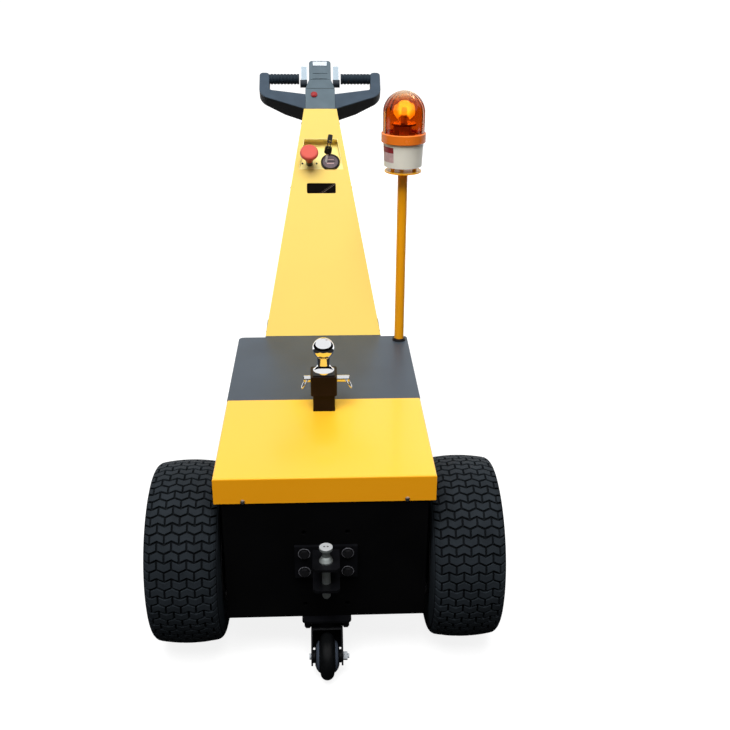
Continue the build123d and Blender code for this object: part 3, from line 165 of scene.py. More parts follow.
# Ends of the soft colour change, depth of the surface grain in metres, and roughness of clear coats
RAMP_ENDS = (0.3, 0.7)
CLOUD_DETAIL, GRAIN_DETAIL, GRAIN_DEPTH = 4.0, 3.0, 0.0004
COAT_ROUGHNESS = 0.12


def finish_of(name, colour, rough, *, scale, metallic=0.0, specular=0.5, spread=0.06, bump=0.0,
              bump_scale=400.0, coat=0.0, rough_spread=0.05):
    """Material whose colour and roughness vary softly with a noise in object space."""
    material = bpy.data.materials.new(name)
    material.use_nodes = True
    tree = material.node_tree
    shader = shader_of(material)
    cloud = noise(tree, scale, CLOUD_DETAIL)
    ramp = tree.nodes.new("ShaderNodeValToRGB")
    for element, position, factor in zip(ramp.color_ramp.elements, RAMP_ENDS, (1.0 - spread, 1.0 + spread)):
        element.position = position
        element.color = shade(colour, factor)
    tree.links.new(cloud, ramp.inputs["Fac"])
    tree.links.new(ramp.outputs["Color"], shader.inputs["Base Color"])
    smoothest, roughest = clamp01(rough - rough_spread), clamp01(rough + rough_spread)
    roughness = ramp_between(tree, cloud, 0.0, 1.0, smoothest, roughest)
    tree.links.new(roughness, shader.inputs["Roughness"])
    shader.inputs["Metallic"].default_value = metallic
    shader.inputs["Specular IOR Level"].default_value = specular
    shader.inputs["Coat Weight"].default_value = coat
    shader.inputs["Coat Roughness"].default_value = COAT_ROUGHNESS
    if bump:
        raise_surface(material, noise(tree, bump_scale, GRAIN_DETAIL), bump, GRAIN_DEPTH)
    return material


def part_painted(material, mask_of, colour, rough=None):
    """Where the mask is 1, the material takes another colour and, if given, another roughness."""
    tree = material.node_tree
    shader = shader_of(material)
    mask = mask_of(tree)
    changes = [("Base Color", "RGBA", colour + (1.0,))]
    if rough is not None:
        changes.append(("Roughness", "FLOAT", rough))
    for socket, kind, value in changes:
        before = shader.inputs[socket].links[0].from_socket
        mix = tree.nodes.new("ShaderNodeMix")
        mix.data_type = kind
        tree.links.new(mask, mix.inputs["Factor"])
        tree.links.new(before, mix.inputs["A"])
        mix.inputs["B"].default_value = value
        tree.links.new(mix.outputs["Result"], shader.inputs[socket])
    return material


# How far a face leans up or back where the painted light and shade start to change and where they have
# changed
UP_FADE, BACK_FADE = (0.2, 0.7), (-0.05, 0.3)


def facing_up(tree):
    """1 on level faces that look up, 0 on upright ones."""
    return ramp_between(tree, coordinates(tree, "Normal")[2], *UP_FADE)


def facing_back(tree):
    """1 on faces that look back, 0 on those that look forward or sideways."""
    return ramp_between(tree, coordinates(tree, "Normal")[1], *BACK_FADE)


def distance_along(tree, slope, direction):
    """Distance from a slope's foot in one of its directions, in metres."""
    _, y, z = coordinates(tree)
    reach = add(tree, multiply(tree, y, direction[1]), multiply(tree, z, direction[2]))
    return subtract(tree, reach, (slope.y * direction[1] + slope.z * direction[2]) * MM)


def height_over(tree, slope):
    return distance_along(tree, slope, slope.off)


def length_up(tree, slope):
    return distance_along(tree, slope, slope.up)


def near(tree, value, centre, reach):
    """1 where a value is within reach of the centre."""
    return below(tree, absolute(tree, subtract(tree, value, centre)), reach)


def radius_from(tree, y0, z0):
    """Distance from an axis along X, in metres."""
    _, y, z = coordinates(tree)
    return diagonal(tree, subtract(tree, y, y0 * MM), subtract(tree, z, z0 * MM))


# Painted and plated metal
powder_coat = {"scale": 6.0, "bump": 0.06, "bump_scale": 260.0, "coat": 0.3}
yellow = finish_of("yellow_coat", (1.0, 0.395, 0.002), 0.36, spread=0.02, **powder_coat)
# The column's and the tray's yellow are the cover's paint painted paler, as painted light for faces that get
# less light
column_yellow_lit = finish_of("column_coat_lit", (0.86, 0.61, 0.128), 0.36, spread=0.015, **powder_coat)
tray_yellow_lit = finish_of("tray_coat_lit", (0.99, 0.84, 0.30), 0.36, spread=0.015, **powder_coat)
lid_black = finish_of("satin_black", (0.046, 0.060, 0.077), 0.4, specular=0.25, scale=9.0, spread=0.12,
                      bump=0.12, bump_scale=500.0)
panel_black = finish_of("dull_black", (0.0022, 0.0022, 0.0024), 0.65, specular=0.04, scale=9.0, spread=0.2,
                        bump=0.2)
black_paint = {"scale": 30.0, "bump": 0.1}
bracket_black = finish_of("bracket_black", (0.0038, 0.0039, 0.0048), 0.4, specular=0.1, spread=0.3,
                          **black_paint)
steel_black = finish_of("black_steel", (0.009, 0.008, 0.007), 0.4, specular=0.25, spread=0.25, **black_paint)
rim_black = finish_of("rim_black", (0.034, 0.035, 0.037), 0.35, specular=0.45, spread=0.15, **black_paint)
post_black = finish_of("post_black", (0.009, 0.0035, 0.003), 0.35, specular=0.12, spread=0.25, **black_paint)
zinc = finish_of("bright_zinc", (0.72, 0.73, 0.75), 0.2, metallic=1.0, scale=60.0)
chrome = finish_of("chrome", (0.82, 0.83, 0.85), 0.05, metallic=1.0, scale=40.0, spread=0.02,
                   rough_spread=0.02)
washer_grey = finish_of("washer_zinc", (0.13, 0.13, 0.145), 0.35, specular=0.4, scale=60.0, spread=0.1)
steel = finish_of("bare_steel", (0.5, 0.51, 0.53), 0.3, metallic=1.0, scale=60.0, spread=0.1)

# Rubber
tyre = finish_of("tyre_rubber", (0.0155, 0.0193, 0.0233), 0.6, specular=0.08, scale=20.0, spread=0.22,
                 bump=0.25, bump_scale=300.0)
# Groove floors: the tyre's rubber painted darker, as painted shade in the grooves
groove_painted_shade = finish_of("groove_painted_shade", (0.0055, 0.0066, 0.0078), 0.7, specular=0.04, scale=20.0,
                          spread=0.22)
castor_rubber = finish_of("castor_rubber", (0.0035, 0.0038, 0.0042), 0.4, specular=0.15, scale=40.0,
                          spread=0.2)
grip = finish_of("grip_rubber", (0.015, 0.024, 0.034), 0.5, specular=0.2, scale=40.0, spread=0.15, bump=0.3)

# Plastics, glass and labels
head_grey = finish_of("head_plastic", (0.053, 0.074, 0.100), 0.45, specular=0.12, scale=30.0, spread=0.1,
                      bump=0.4, bump_scale=900.0)
pod_grey = finish_of("pod_plastic", (0.096, 0.132, 0.156), 0.45, specular=0.35, scale=30.0, spread=0.08,
                     bump=0.3, bump_scale=900.0)
paddle = finish_of("paddle_plastic", (0.41, 0.50, 0.57), 0.4, specular=0.3, scale=20.0, spread=0.03)
red = finish_of("red_plastic", (0.60, 0.018, 0.016), 0.3, scale=30.0, coat=0.25)
horn_red = finish_of("horn_red", (0.3, 0.01, 0.012), 0.2, scale=40.0, coat=0.3)
gauge = finish_of("gauge_plastic", (0.008, 0.008, 0.009), 0.3, specular=0.4, scale=30.0, spread=0.15)
dial = finish_of("gauge_dial", (0.125, 0.095, 0.108), 0.35, specular=0.3, scale=260.0, spread=0.2)
key_black = finish_of("key_black", (0.006, 0.006, 0.006), 0.35, specular=0.4, scale=60.0, spread=0.2)
window = finish_of("smoked_window", (0.003, 0.002, 0.0015), 0.08, specular=0.03, scale=10.0, spread=0.2,
                   rough_spread=0.01)
white = finish_of("beacon_white", (0.88, 0.865, 0.77), 0.3, scale=20.0, spread=0.03)
orange = finish_of("beacon_orange", (0.88, 0.20, 0.016), 0.25, scale=30.0, spread=0.05)
amber = finish_of("amber_lens", (0.60, 0.19, 0.02), 0.05, scale=30.0, spread=0.05, rough_spread=0.02)
dark = finish_of("dark_plastic", (0.01, 0.01, 0.011), 0.45, specular=0.3, scale=30.0, spread=0.2)
lamp_works = finish_of("lamp_works", (0.80, 0.56, 0.28), 0.4, specular=0.4, scale=60.0, spread=0.3)
battery = finish_of("battery_case", (0.05, 0.05, 0.055), 0.5, scale=20.0, spread=0.2)
mirror_gold = finish_of("reflector", (1.0, 0.80, 0.25), 0.25, metallic=0.2, scale=50.0, spread=0.05)
label_white = finish_of("label_white", (0.62, 0.68, 0.74), 0.35, specular=0.4, scale=80.0, spread=0.04)
label_pink = finish_of("label_pale", (0.62, 0.42, 0.42), 0.4, specular=0.3, scale=120.0, spread=0.12)
label_red = finish_of("label_red", (0.28, 0.025, 0.03), 0.4, specular=0.3, scale=120.0, spread=0.1)
label_ink = finish_of("label_ink", (0.03, 0.03, 0.035), 0.5, specular=0.3, scale=120.0, spread=0.2)

# Painted light and shade: the cover's yellow is painted lighter on faces that look up, and the column's is
# painted deeper on faces that look back
part_painted(yellow, facing_up, (0.86, 0.475, 0.024))
part_painted(column_yellow_lit, facing_back, (0.93, 0.47, 0.012))

# Beacon's places in millimetres, and its dome, reflector and bulb in metres
beacon_x, beacon_y, _ = middle("beacon_dome")
dome_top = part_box("beacon_dome")[1][2]
reflector_low, reflector_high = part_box("beacon_reflector")
bulb_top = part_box("beacon_motor")[1][2]

# Reflector: the dish glows round a spot as painted light, in place of the light that reaches it through the
# dome, and the disc under it is dark
SPOT_SIDE, SPOT_DROP, SPOT_EDGE, SPOT_CORE, SPOT_GLOW = 0.003, 0.021, 0.023, 0.014, 2.6
DISC_TOP = 0.006
tree, shader = mirror_gold.node_tree, shader_of(mirror_gold)
tree.links.new(shader.inputs["Base Color"].links[0].from_socket, shader.inputs["Emission Color"])
across, _, height = coordinates(tree)
off_x = subtract(tree, across, beacon_x * MM + SPOT_SIDE)
off_z = subtract(tree, height, reflector_high[2] - SPOT_DROP)
in_spot = ramp_between(tree, diagonal(tree, off_x, off_z), SPOT_EDGE, SPOT_CORE)
tree.links.new(multiply(tree, in_spot, SPOT_GLOW), shader.inputs["Emission Strength"])
part_painted(
    mirror_gold,
    lambda tree: below(tree, coordinates(tree)[2], reflector_low[2] + DISC_TOP),
    (0.20, 0.07, 0.02),
)

# Bulb: glows from its foot up, as painted light in place of the light that reaches it through the dome
BULB_FOOT, BULB_LIT, BULB_GLOW = 0.021, 0.017, 2.4
tree, shader = lamp_works.node_tree, shader_of(lamp_works)
shader.inputs["Emission Color"].default_value = (1.0, 0.72, 0.20, 1.0)
on_bulb = ramp_between(tree, coordinates(tree)[2], bulb_top - BULB_FOOT, bulb_top - BULB_LIT)
tree.links.new(multiply(tree, on_bulb, BULB_GLOW), shader.inputs["Emission Strength"])

# Dome: clear amber with flutes; its cap is painted paler and less clear, a painted reflection of the sky
FLUTES, FLUTE_STRENGTH, FLUTE_DEPTH = 18.0, 0.5, 0.0012
CAP_DEPTH, CAP_OVER, CAP_SHEEN = 0.02, 0.002, 0.4
REFRACTION = 1.32
tree, shader = amber.node_tree, shader_of(amber)
shader.inputs["Transmission Weight"].default_value = 1.0
shader.inputs["IOR"].default_value = REFRACTION
across, along, _ = coordinates(tree)
turn = angle_of(tree, subtract(tree, along, beacon_y * MM), subtract(tree, across, beacon_x * MM))
raise_surface(amber, sine(tree, multiply(tree, turn, FLUTES)), FLUTE_STRENGTH, FLUTE_DEPTH)


def dome_cap(tree):
    """Rises from 0 to 1 over the dome's cap."""
    return ramp_between(tree, coordinates(tree)[2], dome_top - CAP_DEPTH, dome_top + CAP_OVER)


part_painted(amber, dome_cap, (0.98, 0.74, 0.48))
clear = subtract(tree, 1.0, multiply(tree, dome_cap(tree), CAP_SHEEN))
tree.links.new(clear, shader.inputs["Transmission Weight"])

# Paddles: dark hubs round the grips' axis, which is given in millimetres on the head's slope
HUB_UP, HUB_OFF, HUB_RADIUS = 101.0, -12.0, 0.0113
hub = head.at(0.0, HUB_UP, HUB_OFF) / MM
part_painted(
    paddle, lambda tree: below(tree, radius_from(tree, hub.y, hub.z), HUB_RADIUS), (0.02, 0.026, 0.034)
)

# Stop button: a dark foot, and a top painted paler as a painted highlight, by height over the tray in metres
BUTTON_FOOT, BUTTON_CROWN, BUTTON_TOP = 0.016, 0.036, 0.043
part_painted(red, lambda tree: below(tree, height_over(tree, tray), BUTTON_FOOT), (0.015, 0.006, 0.006))
part_painted(
    red,
    lambda tree: ramp_between(tree, height_over(tree, tray), BUTTON_CROWN, BUTTON_TOP),
    (0.60, 0.085, 0.06),
)

# Head: arms painted dark under their top faces as painted shade, and a dark groove across the housing, in
# metres
ARM_UNDERSIDE, HOUSING_GROOVE, HOUSING_GROOVE_HALF = -0.003, 0.0735, 0.0008
part_painted(
    head_grey,
    lambda tree: below(tree, height_over(tree, head), ARM_UNDERSIDE),
    (0.009, 0.011, 0.015),
    rough=0.55,
)
part_painted(
    pod_grey,
    lambda tree: near(tree, length_up(tree, head), HOUSING_GROOVE, HOUSING_GROOVE_HALF),
    (0.006, 0.008, 0.01),
)

# Key: pale and smooth up to this height over the tray in metres
KEY_PALE = 0.028
part_painted(
    key_black, lambda tree: below(tree, height_over(tree, tray), KEY_PALE), (0.97, 0.97, 0.98), rough=0.25
)

# Display window: two thin slanting streaks at its right, painted reflections, in metres
STREAK_SIDE, STREAK_LEAN, STREAK_GAP = 0.022, 1.45, 0.006
STREAK_HALVES = (0.0009, 0.0004)
window_low, window_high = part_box("display_window")
window_mid = (Vector(window_low) + Vector(window_high)) / 2
window_s = (window_mid - column.at(0.0, 0.0)).dot(Vector(column.up))
streak_start = STREAK_SIDE - window_s * STREAK_LEAN


def painted_reflection_streaks(tree):
    """1 on the two streaks of painted reflection."""
    slant = subtract(tree, coordinates(tree)[0], multiply(tree, length_up(tree, column), STREAK_LEAN))
    first = near(tree, slant, streak_start, STREAK_HALVES[0])
    second = near(tree, slant, streak_start - STREAK_GAP, STREAK_HALVES[1])
    return largest(tree, first, second)


part_painted(window, painted_reflection_streaks, (0.16, 0.125, 0.10))

# Drop pin: its top face is painted pale and isn't bare metal, a painted highlight in place of a bright
# reflection
PIN_HIGHLIGHT_BAND, PIN_METAL = 0.0008, 0.75
pin_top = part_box("drop_pin")[1][2]
pin_zinc = part_painted(
    finish_of("pin_zinc", (0.42, 0.46, 0.45), 0.35, metallic=1.0, scale=60.0, spread=0.1),
    lambda tree: above(tree, coordinates(tree)[2], pin_top - PIN_HIGHLIGHT_BAND),
    (0.40, 0.42, 0.43),
    rough=0.4,
)
tree = pin_zinc.node_tree
under_top = below(tree, coordinates(tree)[2], pin_top - PIN_HIGHLIGHT_BAND)
tree.links.new(multiply(tree, under_top, PIN_METAL), shader_of(pin_zinc).inputs["Metallic"])

# Castors: bright axle ends outside the fork, and paler rings painted on the sides of the wheels as painted
# highlights, in metres
FORK_OUTSIDE, RING_INSIDE, RING_SIDE = 0.0348, 0.026, 0.0175
fork_black = part_painted(
    bracket_black.copy(),
    lambda tree: above(tree, absolute(tree, coordinates(tree)[0]), FORK_OUTSIDE),
    (0.42, 0.45, 0.48),
    rough=0.25,
)


def castor_highlight_rubber(node):
    """Rubber with a paler ring on each side of the wheel, a painted highlight."""
    _, centre_y, centre_z = middle(node)

    def on_ring(tree):
        outer = above(tree, radius_from(tree, centre_y, centre_z), RING_INSIDE)
        return multiply(tree, outer, above(tree, absolute(tree, coordinates(tree)[0]), RING_SIDE))

    return part_painted(castor_rubber.copy(), on_ring, (0.045, 0.055, 0.075), rough=0.3)


finishes = {
    yellow: ("front_cover", "beacon_pole", "beacon_plate"),
    column_yellow_lit: ("column_shell",),
    tray_yellow_lit: ("control_tray",),
    lid_black: ("rear_lid", "column_foot"),
    panel_black: ("chassis_tub", "front_panel"),
    bracket_black: ("coupling_bracket", "front_castor_plate", "rear_castor_plate"),
    fork_black: ("front_castor_fork", "rear_castor_fork"),
    steel_black: ("drive_axle", "ball_shank"),
    rim_black: ("rim_right", "rim_left"),
    post_black: ("hitch_post", "hitch_sleeve"),
    steel: ("cover_screws",),
    zinc: ("cross_pin", "pin_rings"),
    pin_zinc: ("drop_pin",),
    chrome: ("tow_ball",),
    tyre: ("tyre_right", "tyre_left"),
    castor_highlight_rubber("front_castor_wheel"): ("front_castor_wheel",),
    castor_highlight_rubber("rear_castor_wheel"): ("rear_castor_wheel",),
    head_grey: ("arm_right", "arm_left"),
    pod_grey: ("head_housing", "control_pod"),
    grip: ("grip_right", "grip_left"),
    paddle: ("throttle_right", "throttle_left"),
    red: ("stop_button",),
    horn_red: ("horn_button",),
    gauge: ("key_gauge", "coupling_bolts"),
    key_black: ("ignition_key",),
    dark: ("pole_collar",),
    lamp_works: ("beacon_motor",),
    window: ("display_window",),
    white: ("beacon_base",),
    orange: ("beacon_ring",),
    amber: ("beacon_dome",),
    mirror_gold: ("beacon_reflector",),
    battery: ("battery_pack",),
}
for material, names in finishes.items():
    for name in names:
        nodes[name].data.materials.clear()
        nodes[name].data.materials.append(material)


def piece(name, verts, faces, material, body="chassis", smooth=False):
    """Mesh piece in metres that rides on a body."""
    mesh = bpy.data.meshes.new(name)
    mesh.from_pydata([tuple(v) for v in verts], [], faces)
    mesh.validate()
    mesh.update()
    if smooth:
        for polygon in mesh.polygons:
            polygon.use_smooth = True
    thing = bpy.data.objects.new(name, mesh)
    bpy.context.collection.objects.link(thing)
    mesh.materials.append(material)
    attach(thing, body)
    return thing


def angles_round(sides):
    """Angles evenly round a circle."""
    return [2 * pi * n / sides for n in range(sides)]


def ring_faces(first, second, sides):
    """Faces between two rings of vertices, given by each ring's first number."""
    pairs = [(n, (n + 1) % sides) for n in range(sides)]
    return [(first + n, first + m, second + m, second + n) for n, m in pairs]


def lathe(place, profile, sides):
    """Vertices and faces of a turned form; place(r cos, r sin, h) gives a point in metres."""
    verts, faces = [], []
    for radius, height in profile:
        verts += [place(radius * cos(angle), radius * sin(angle), height) for angle in angles_round(sides)]
    last = (len(profile) - 1) * sides
    for start in range(0, last, sides):
        faces += ring_faces(start, start + sides, sides)
    faces.append(tuple(range(last, last + sides)))
    return verts, faces


# Turf tread: a carcass with its groove floor, and staggered chevron blocks on it, in millimetres
TREAD_DEPTH, TREAD_END, GROOVE, GROOVE_FADE = 5.0, 78.0, 4.6, 6.0
ROWS, BLOCK_PITCH, ZIGZAG, BLOCK_EDGE, BLOCK_SUNK = 66, 31.0, 7.0, 0.8, 0.3
CARCASS_SIDES, CARCASS_STEPS, BLOCK_COLUMNS = 132, 24, 5

# Half of the tyre's outline: the crown, the shoulder, and the wall down to the rim's lip and the bead
CROWN_EDGE, CROWN_DROP = 58.0, 5.0
CROWN_MIDDLE, CROWN_MIDDLE_DROP = 29.2, 1.25
SHOULDER_INSET, SHOULDER_DROP, SHOULDER_MIDDLE_INSET = 5.0, 18.0, 11.0
WALL_RADIUS = 147.6
LIP, BEAD = (74.0, 110.3), (69.7, 102.3)
CROWN_STEPS, SHOULDER_STEPS, WALL_STEPS = 12, 6, 12


def arc(p0, p1, p2, count):
    """Points on the circle through three points, p0 left out."""
    ax, ay = p1[0] - p0[0], p1[1] - p0[1]
    bx, by = p2[0] - p0[0], p2[1] - p0[1]
    d = 2 * (ax * by - ay * bx)
    ux = (by * (ax * ax + ay * ay) - ay * (bx * bx + by * by)) / d
    uy = (ax * (bx * bx + by * by) - bx * (ax * ax + ay * ay)) / d
    cx, cy, radius = p0[0] + ux, p0[1] + uy, hypot(ux, uy)
    start = atan2(p0[1] - cy, p0[0] - cx)
    sweep = (atan2(p2[1] - cy, p2[0] - cx) - start + pi) % (2 * pi) - pi
    return [
        (cx + radius * cos(start + sweep * n / count), cy + radius * sin(start + sweep * n / count))
        for n in range(1, count + 1)
    ]


crown_top = (0.0, tyre_radius)
crown_middle = (CROWN_MIDDLE, tyre_radius - CROWN_MIDDLE_DROP)
crown_edge = (CROWN_EDGE, tyre_radius - CROWN_DROP)
shoulder_middle = (tyre_half - SHOULDER_MIDDLE_INSET, tyre_radius - SHOULDER_DROP / 2)
shoulder = (tyre_half - SHOULDER_INSET, tyre_radius - SHOULDER_DROP)
outer_half = [crown_top] + arc(crown_top, crown_middle, crown_edge, CROWN_STEPS)
outer_half += arc(crown_edge, shoulder_middle, shoulder, SHOULDER_STEPS)
wall_half = arc(shoulder, (tyre_half, WALL_RADIUS), LIP, WALL_STEPS) + [BEAD]
lengths = [0.0]
for (x0, r0), (x1, r1) in zip(outer_half, outer_half[1:]):
    lengths.append(lengths[-1] + hypot(x1 - x0, r1 - r0))

# Lengths across the tread stay this far inside the outline's ends
END_MARGIN = 0.001


def surface(t):
    """(x, radius, normal x, normal r) at arc length t across the tread."""
    side, t = (1 if t >= 0 else -1), min(abs(t), lengths[-1] - END_MARGIN)
    n = max(i for i, length in enumerate(lengths[:-1]) if length <= t)
    step = lengths[n + 1] - lengths[n]
    part = (t - lengths[n]) / step
    (x0, r0), (x1, r1) = outer_half[n], outer_half[n + 1]
    dx, dr = (x1 - x0) / step, (r1 - r0) / step
    return side * (x0 + part * (x1 - x0)), r0 + part * (r1 - r0), side * -dr, dx


def wheel_point(x, radius, angle):
    """Point on a drive wheel, in metres."""
    return Vector((x, axle_y + radius * cos(angle), tyre_radius + radius * sin(angle))) * MM


def carcass(centre_x):
    """Vertices and faces of the tyre under its blocks, and the numbers of the groove floor's faces."""
    profile = [(-x, r) for x, r in reversed(wall_half)]
    for n in range(CARCASS_STEPS + 1):
        t = (2 * n / CARCASS_STEPS - 1) * lengths[-1]
        fade = clamp01((lengths[-1] - abs(t)) / GROOVE_FADE)
        x, radius, normal_x, normal_r = surface(t)
        profile.append((x - normal_x * TREAD_DEPTH * fade, radius - normal_r * TREAD_DEPTH * fade))
    profile += wall_half
    verts, faces = [], []
    for x, r in profile:
        verts += [wheel_point(centre_x + x, r, angle) for angle in angles_round(CARCASS_SIDES)]
    for ring in range(len(profile)):
        start, other = ring * CARCASS_SIDES, (ring + 1) % len(profile) * CARCASS_SIDES
        faces += [(a, d, c, b) for a, b, c, d in ring_faces(start, other, CARCASS_SIDES)]
    floor_start = len(wall_half) * CARCASS_SIDES
    return verts, faces, range(floor_start, floor_start + CARCASS_STEPS * CARCASS_SIDES)


def zigzag(t):
    """How far the chevrons lead or trail at arc length t, in millimetres."""
    part = (t / BLOCK_PITCH) % 1.0
    return ZIGZAG * (1.0 - abs(2.0 * part - 1.0))


def row_breaks(row):
    """Middles of the grooves across a row of blocks; every second row is half a block further."""
    places = (-2, -1, 0, 1, 2) if row % 2 else (-1.5, -0.5, 0.5, 1.5)
    return [-TREAD_END] + [place * BLOCK_PITCH for place in places] + [TREAD_END]


def block(centre_x, row, left, right, base):
    """Vertices and faces of one block with slanted edges, numbered from base."""
    verts, faces = [], []
    row_angle, inset = 2 * pi / ROWS, BLOCK_EDGE / tyre_radius
    foot = -TREAD_DEPTH - BLOCK_SUNK
    for c in range(BLOCK_COLUMNS):
        t = left + (right - left) * c / (BLOCK_COLUMNS - 1)
        low = row * row_angle - (zigzag(t) - GROOVE / 2) / tyre_radius
        high = (row + 1) * row_angle - (zigzag(t) + GROOVE / 2) / tyre_radius
        section = [(low, foot), (low, -BLOCK_EDGE), (low + inset, 0.0)]
        section += [(high - inset, 0.0), (high, -BLOCK_EDGE), (high, foot)]
        x, radius, normal_x, normal_r = surface(t)
        for angle, lift in section:
            verts.append(wheel_point(centre_x + x + normal_x * lift, radius + normal_r * lift, angle))
    count = len(section)
    for c in range(BLOCK_COLUMNS - 1):
        for k in range(count - 1):
            a = base + c * count + k
            faces.append((a, a + count, a + count + 1, a + 1))
    last = base + (BLOCK_COLUMNS - 1) * count
    faces.append(tuple(range(base, base + count)))
    faces.append(tuple(reversed(range(last, last + count))))
    return verts, faces


for side, centre_x in (("right", tyre_x), ("left", -tyre_x)):
    verts, faces, groove_faces = carcass(centre_x)
    carcass_faces = len(faces)
    for row in range(ROWS):
        breaks = row_breaks(row)
        for left, right in zip(breaks, breaks[1:]):
            left_edge = left + (GROOVE / 2 if left > -TREAD_END else 0.0)
            right_edge = right - (GROOVE / 2 if right < TREAD_END else 0.0)
            block_verts, block_faces = block(centre_x, row, left_edge, right_edge, len(verts))
            verts += block_verts
            faces += block_faces
    tread = piece(f"turf_tyre_{side}", verts, faces, tyre, f"wheel_{side}")
    for polygon in tread.data.polygons[:carcass_faces]:
        polygon.use_smooth = True
    # The groove floor takes the darker rubber, painted shade
    tread.data.materials.append(groove_painted_shade)
    for number in groove_faces:
        tread.data.polygons[number].material_index = 1
    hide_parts(f"tyre_{side}")


# Dome of a small screw, as parts of its radius and height
SCREW_DOME = ((1.0, 0.0), (0.9, 0.5), (0.55, 0.9), (0.25, 1.0))
SCREW_SIDES = 16


def screw(name, origin, normal, radius, height, material, slot):
    """Domed screw head that stands on a point in metres; its radius and height are in millimetres."""
    normal = normal.normalized()
    across = normal.orthogonal().normalized()
    along = normal.cross(across)

    def place(a, b, h):
        return origin + (across * a + along * b + normal * h) * MM

    profile = [(radius * wide, height * tall) for wide, tall in SCREW_DOME]
    verts, faces = lathe(place, profile, SCREW_SIDES)
    piece(name, verts, faces, material, smooth=True)


# Screws on the column's tapering sides and on the tray: places, and then radius and height
COLUMN_FOOT_WIDTH, COLUMN_TOP_WIDTH = 313.0, 91.0
COLUMN_SCREWS, COLUMN_SCREW_OFF, COLUMN_SCREW = (14.0, 416.0, 598.0), -11.0, (4.0, 2.4)
TRAY_SCREWS, TRAY_SCREW_UP, TRAY_SCREW = (-51.5, -12.0), 19.3, (2.8, 1.4)
taper = (COLUMN_FOOT_WIDTH - COLUMN_TOP_WIDTH) / 2 / COLUMN_LENGTH
for number, s in enumerate(COLUMN_SCREWS):
    for side, sign in (("right", 1), ("left", -1)):
        x = sign * (COLUMN_FOOT_WIDTH / 2 - taper * s)
        normal = Vector((sign, taper * column.up[1], taper * column.up[2]))
        place = column.at(x, s, COLUMN_SCREW_OFF)
        screw(f"column_screw_{side}_{number + 1}", place, normal, *COLUMN_SCREW, zinc, "zinc")
for number, x in enumerate(TRAY_SCREWS):
    place = tray.at(x, TRAY_SCREW_UP)
    screw(f"tray_screw_{number + 1}", place, Vector(tray.off), *TRAY_SCREW, dark, "dark_plastic")

# Washer rims round the coupling's bolt heads
BOLT_X, BOLT_HEIGHTS, WASHER_SETBACK = 45.5, (251.0, 297.0), 6.6
WASHER_RADIUS, WASHER_BULGE, WASHER_HOLLOW, WASHER_RISE, WASHER_SIDES = 12.2, 12.9, 11.6, 0.6, 40
washer_profile = [
    (WASHER_RADIUS, 0.0),
    (WASHER_BULGE, WASHER_RISE),
    (WASHER_RADIUS, 2 * WASHER_RISE),
    (WASHER_HOLLOW, WASHER_RISE),
    (WASHER_RADIUS, 0.0),
]
washer_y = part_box("coupling_bolts")[0][1] / MM + WASHER_SETBACK
washer_places = [(x, z) for z in BOLT_HEIGHTS for x in (-BOLT_X, BOLT_X)]
for number, (x, z) in enumerate(washer_places):
    centre = Vector((x, washer_y, z)) * MM
    verts, faces = lathe(lambda a, b, h: centre + Vector((a, -h, b)) * MM, washer_profile, WASHER_SIDES)
    piece(f"washer_rim_{number + 1}", verts, faces[:-1], washer_grey, smooth=True)


def patch(name, points, material):
    """Flat piece with one face."""
    piece(name, points, [tuple(range(len(points)))], material)


def disc(name, centre, along, radius, material, sides):
    """Round patch across X and along another direction."""
    spokes = [X_AXIS * cos(angle) + along * sin(angle) for angle in angles_round(sides)]
    patch(name, [centre + spoke * radius * MM for spoke in spokes], material)


def panel(name, slope, x, half_width, s0, s1, h, material):
    """Rectangular patch that lies on a slope."""
    corners = [(x - half_width, s0), (x + half_width, s0), (x + half_width, s1), (x - half_width, s1)]
    patch(name, [slope.at(*corner, h) for corner in corners], material)


# Gauge's dial with three marks, the pod's blank label and the dimples in the drop pin's head
GAUGE_X, DIAL_UP, DIAL_HEIGHT, DIAL_RADIUS, DIAL_SIDES = 26.0, 22.3, 4.15, 20.9, 40
MARKS = ((15.5, 18.5, 10.0, label_pink), (22.0, 24.5, 13.0, label_ink), (28.5, 30.5, 9.0, label_pink))
MARK_HEIGHT = 4.35
LABEL_HALF, LABEL_START, LABEL_END, LABEL_HEIGHT = 20.0, 157.0, 172.0, 0.25
DIMPLES, DIMPLE_RADIUS, DIMPLE_SIDES = (-3.6, 3.6), 2.0, 16
DIMPLE_RISE = 0.1 * MM
dial_centre = tray.at(GAUGE_X, DIAL_UP, DIAL_HEIGHT)
disc("gauge_dial", dial_centre, Vector(tray.up), DIAL_RADIUS, dial, DIAL_SIDES)
for number, (s0, s1, half_width, ink) in enumerate(MARKS):
    panel(f"gauge_mark_{number + 1}", tray, GAUGE_X, half_width, s0, s1, MARK_HEIGHT, ink)
panel("pod_label", head, 0.0, LABEL_HALF, LABEL_START, LABEL_END, LABEL_HEIGHT, label_white)
pin_y = middle("drop_pin")[1]
# The dimples are dark discs, painted shade in their hollows
for number, x in enumerate(DIMPLES):
    centre = Vector((x * MM, pin_y * MM, pin_top + DIMPLE_RISE))
    disc(f"pin_dimple_{number + 1}", centre, Y_AXIS, DIMPLE_RADIUS, dark, DIMPLE_SIDES)

# Blank label in two bands on the beacon's base: degrees from the front, and depths under the base's top
BASE_FOOT_RADIUS, BASE_TOP_RADIUS = 47.0, 50.0
BAND_FIRST, BAND_LAST, BAND_STEPS, BAND_STAND = 34.0, 82.0, 12, 0.25
BAND_TOP, BAND_MIDDLE, BAND_BOTTOM = 7.0, 21.0, 44.0
base_low, base_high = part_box("beacon_base")
base_bottom, base_top = base_low[2] / MM, base_high[2] / MM
base_flare, base_height = BASE_TOP_RADIUS - BASE_FOOT_RADIUS, base_top - base_bottom


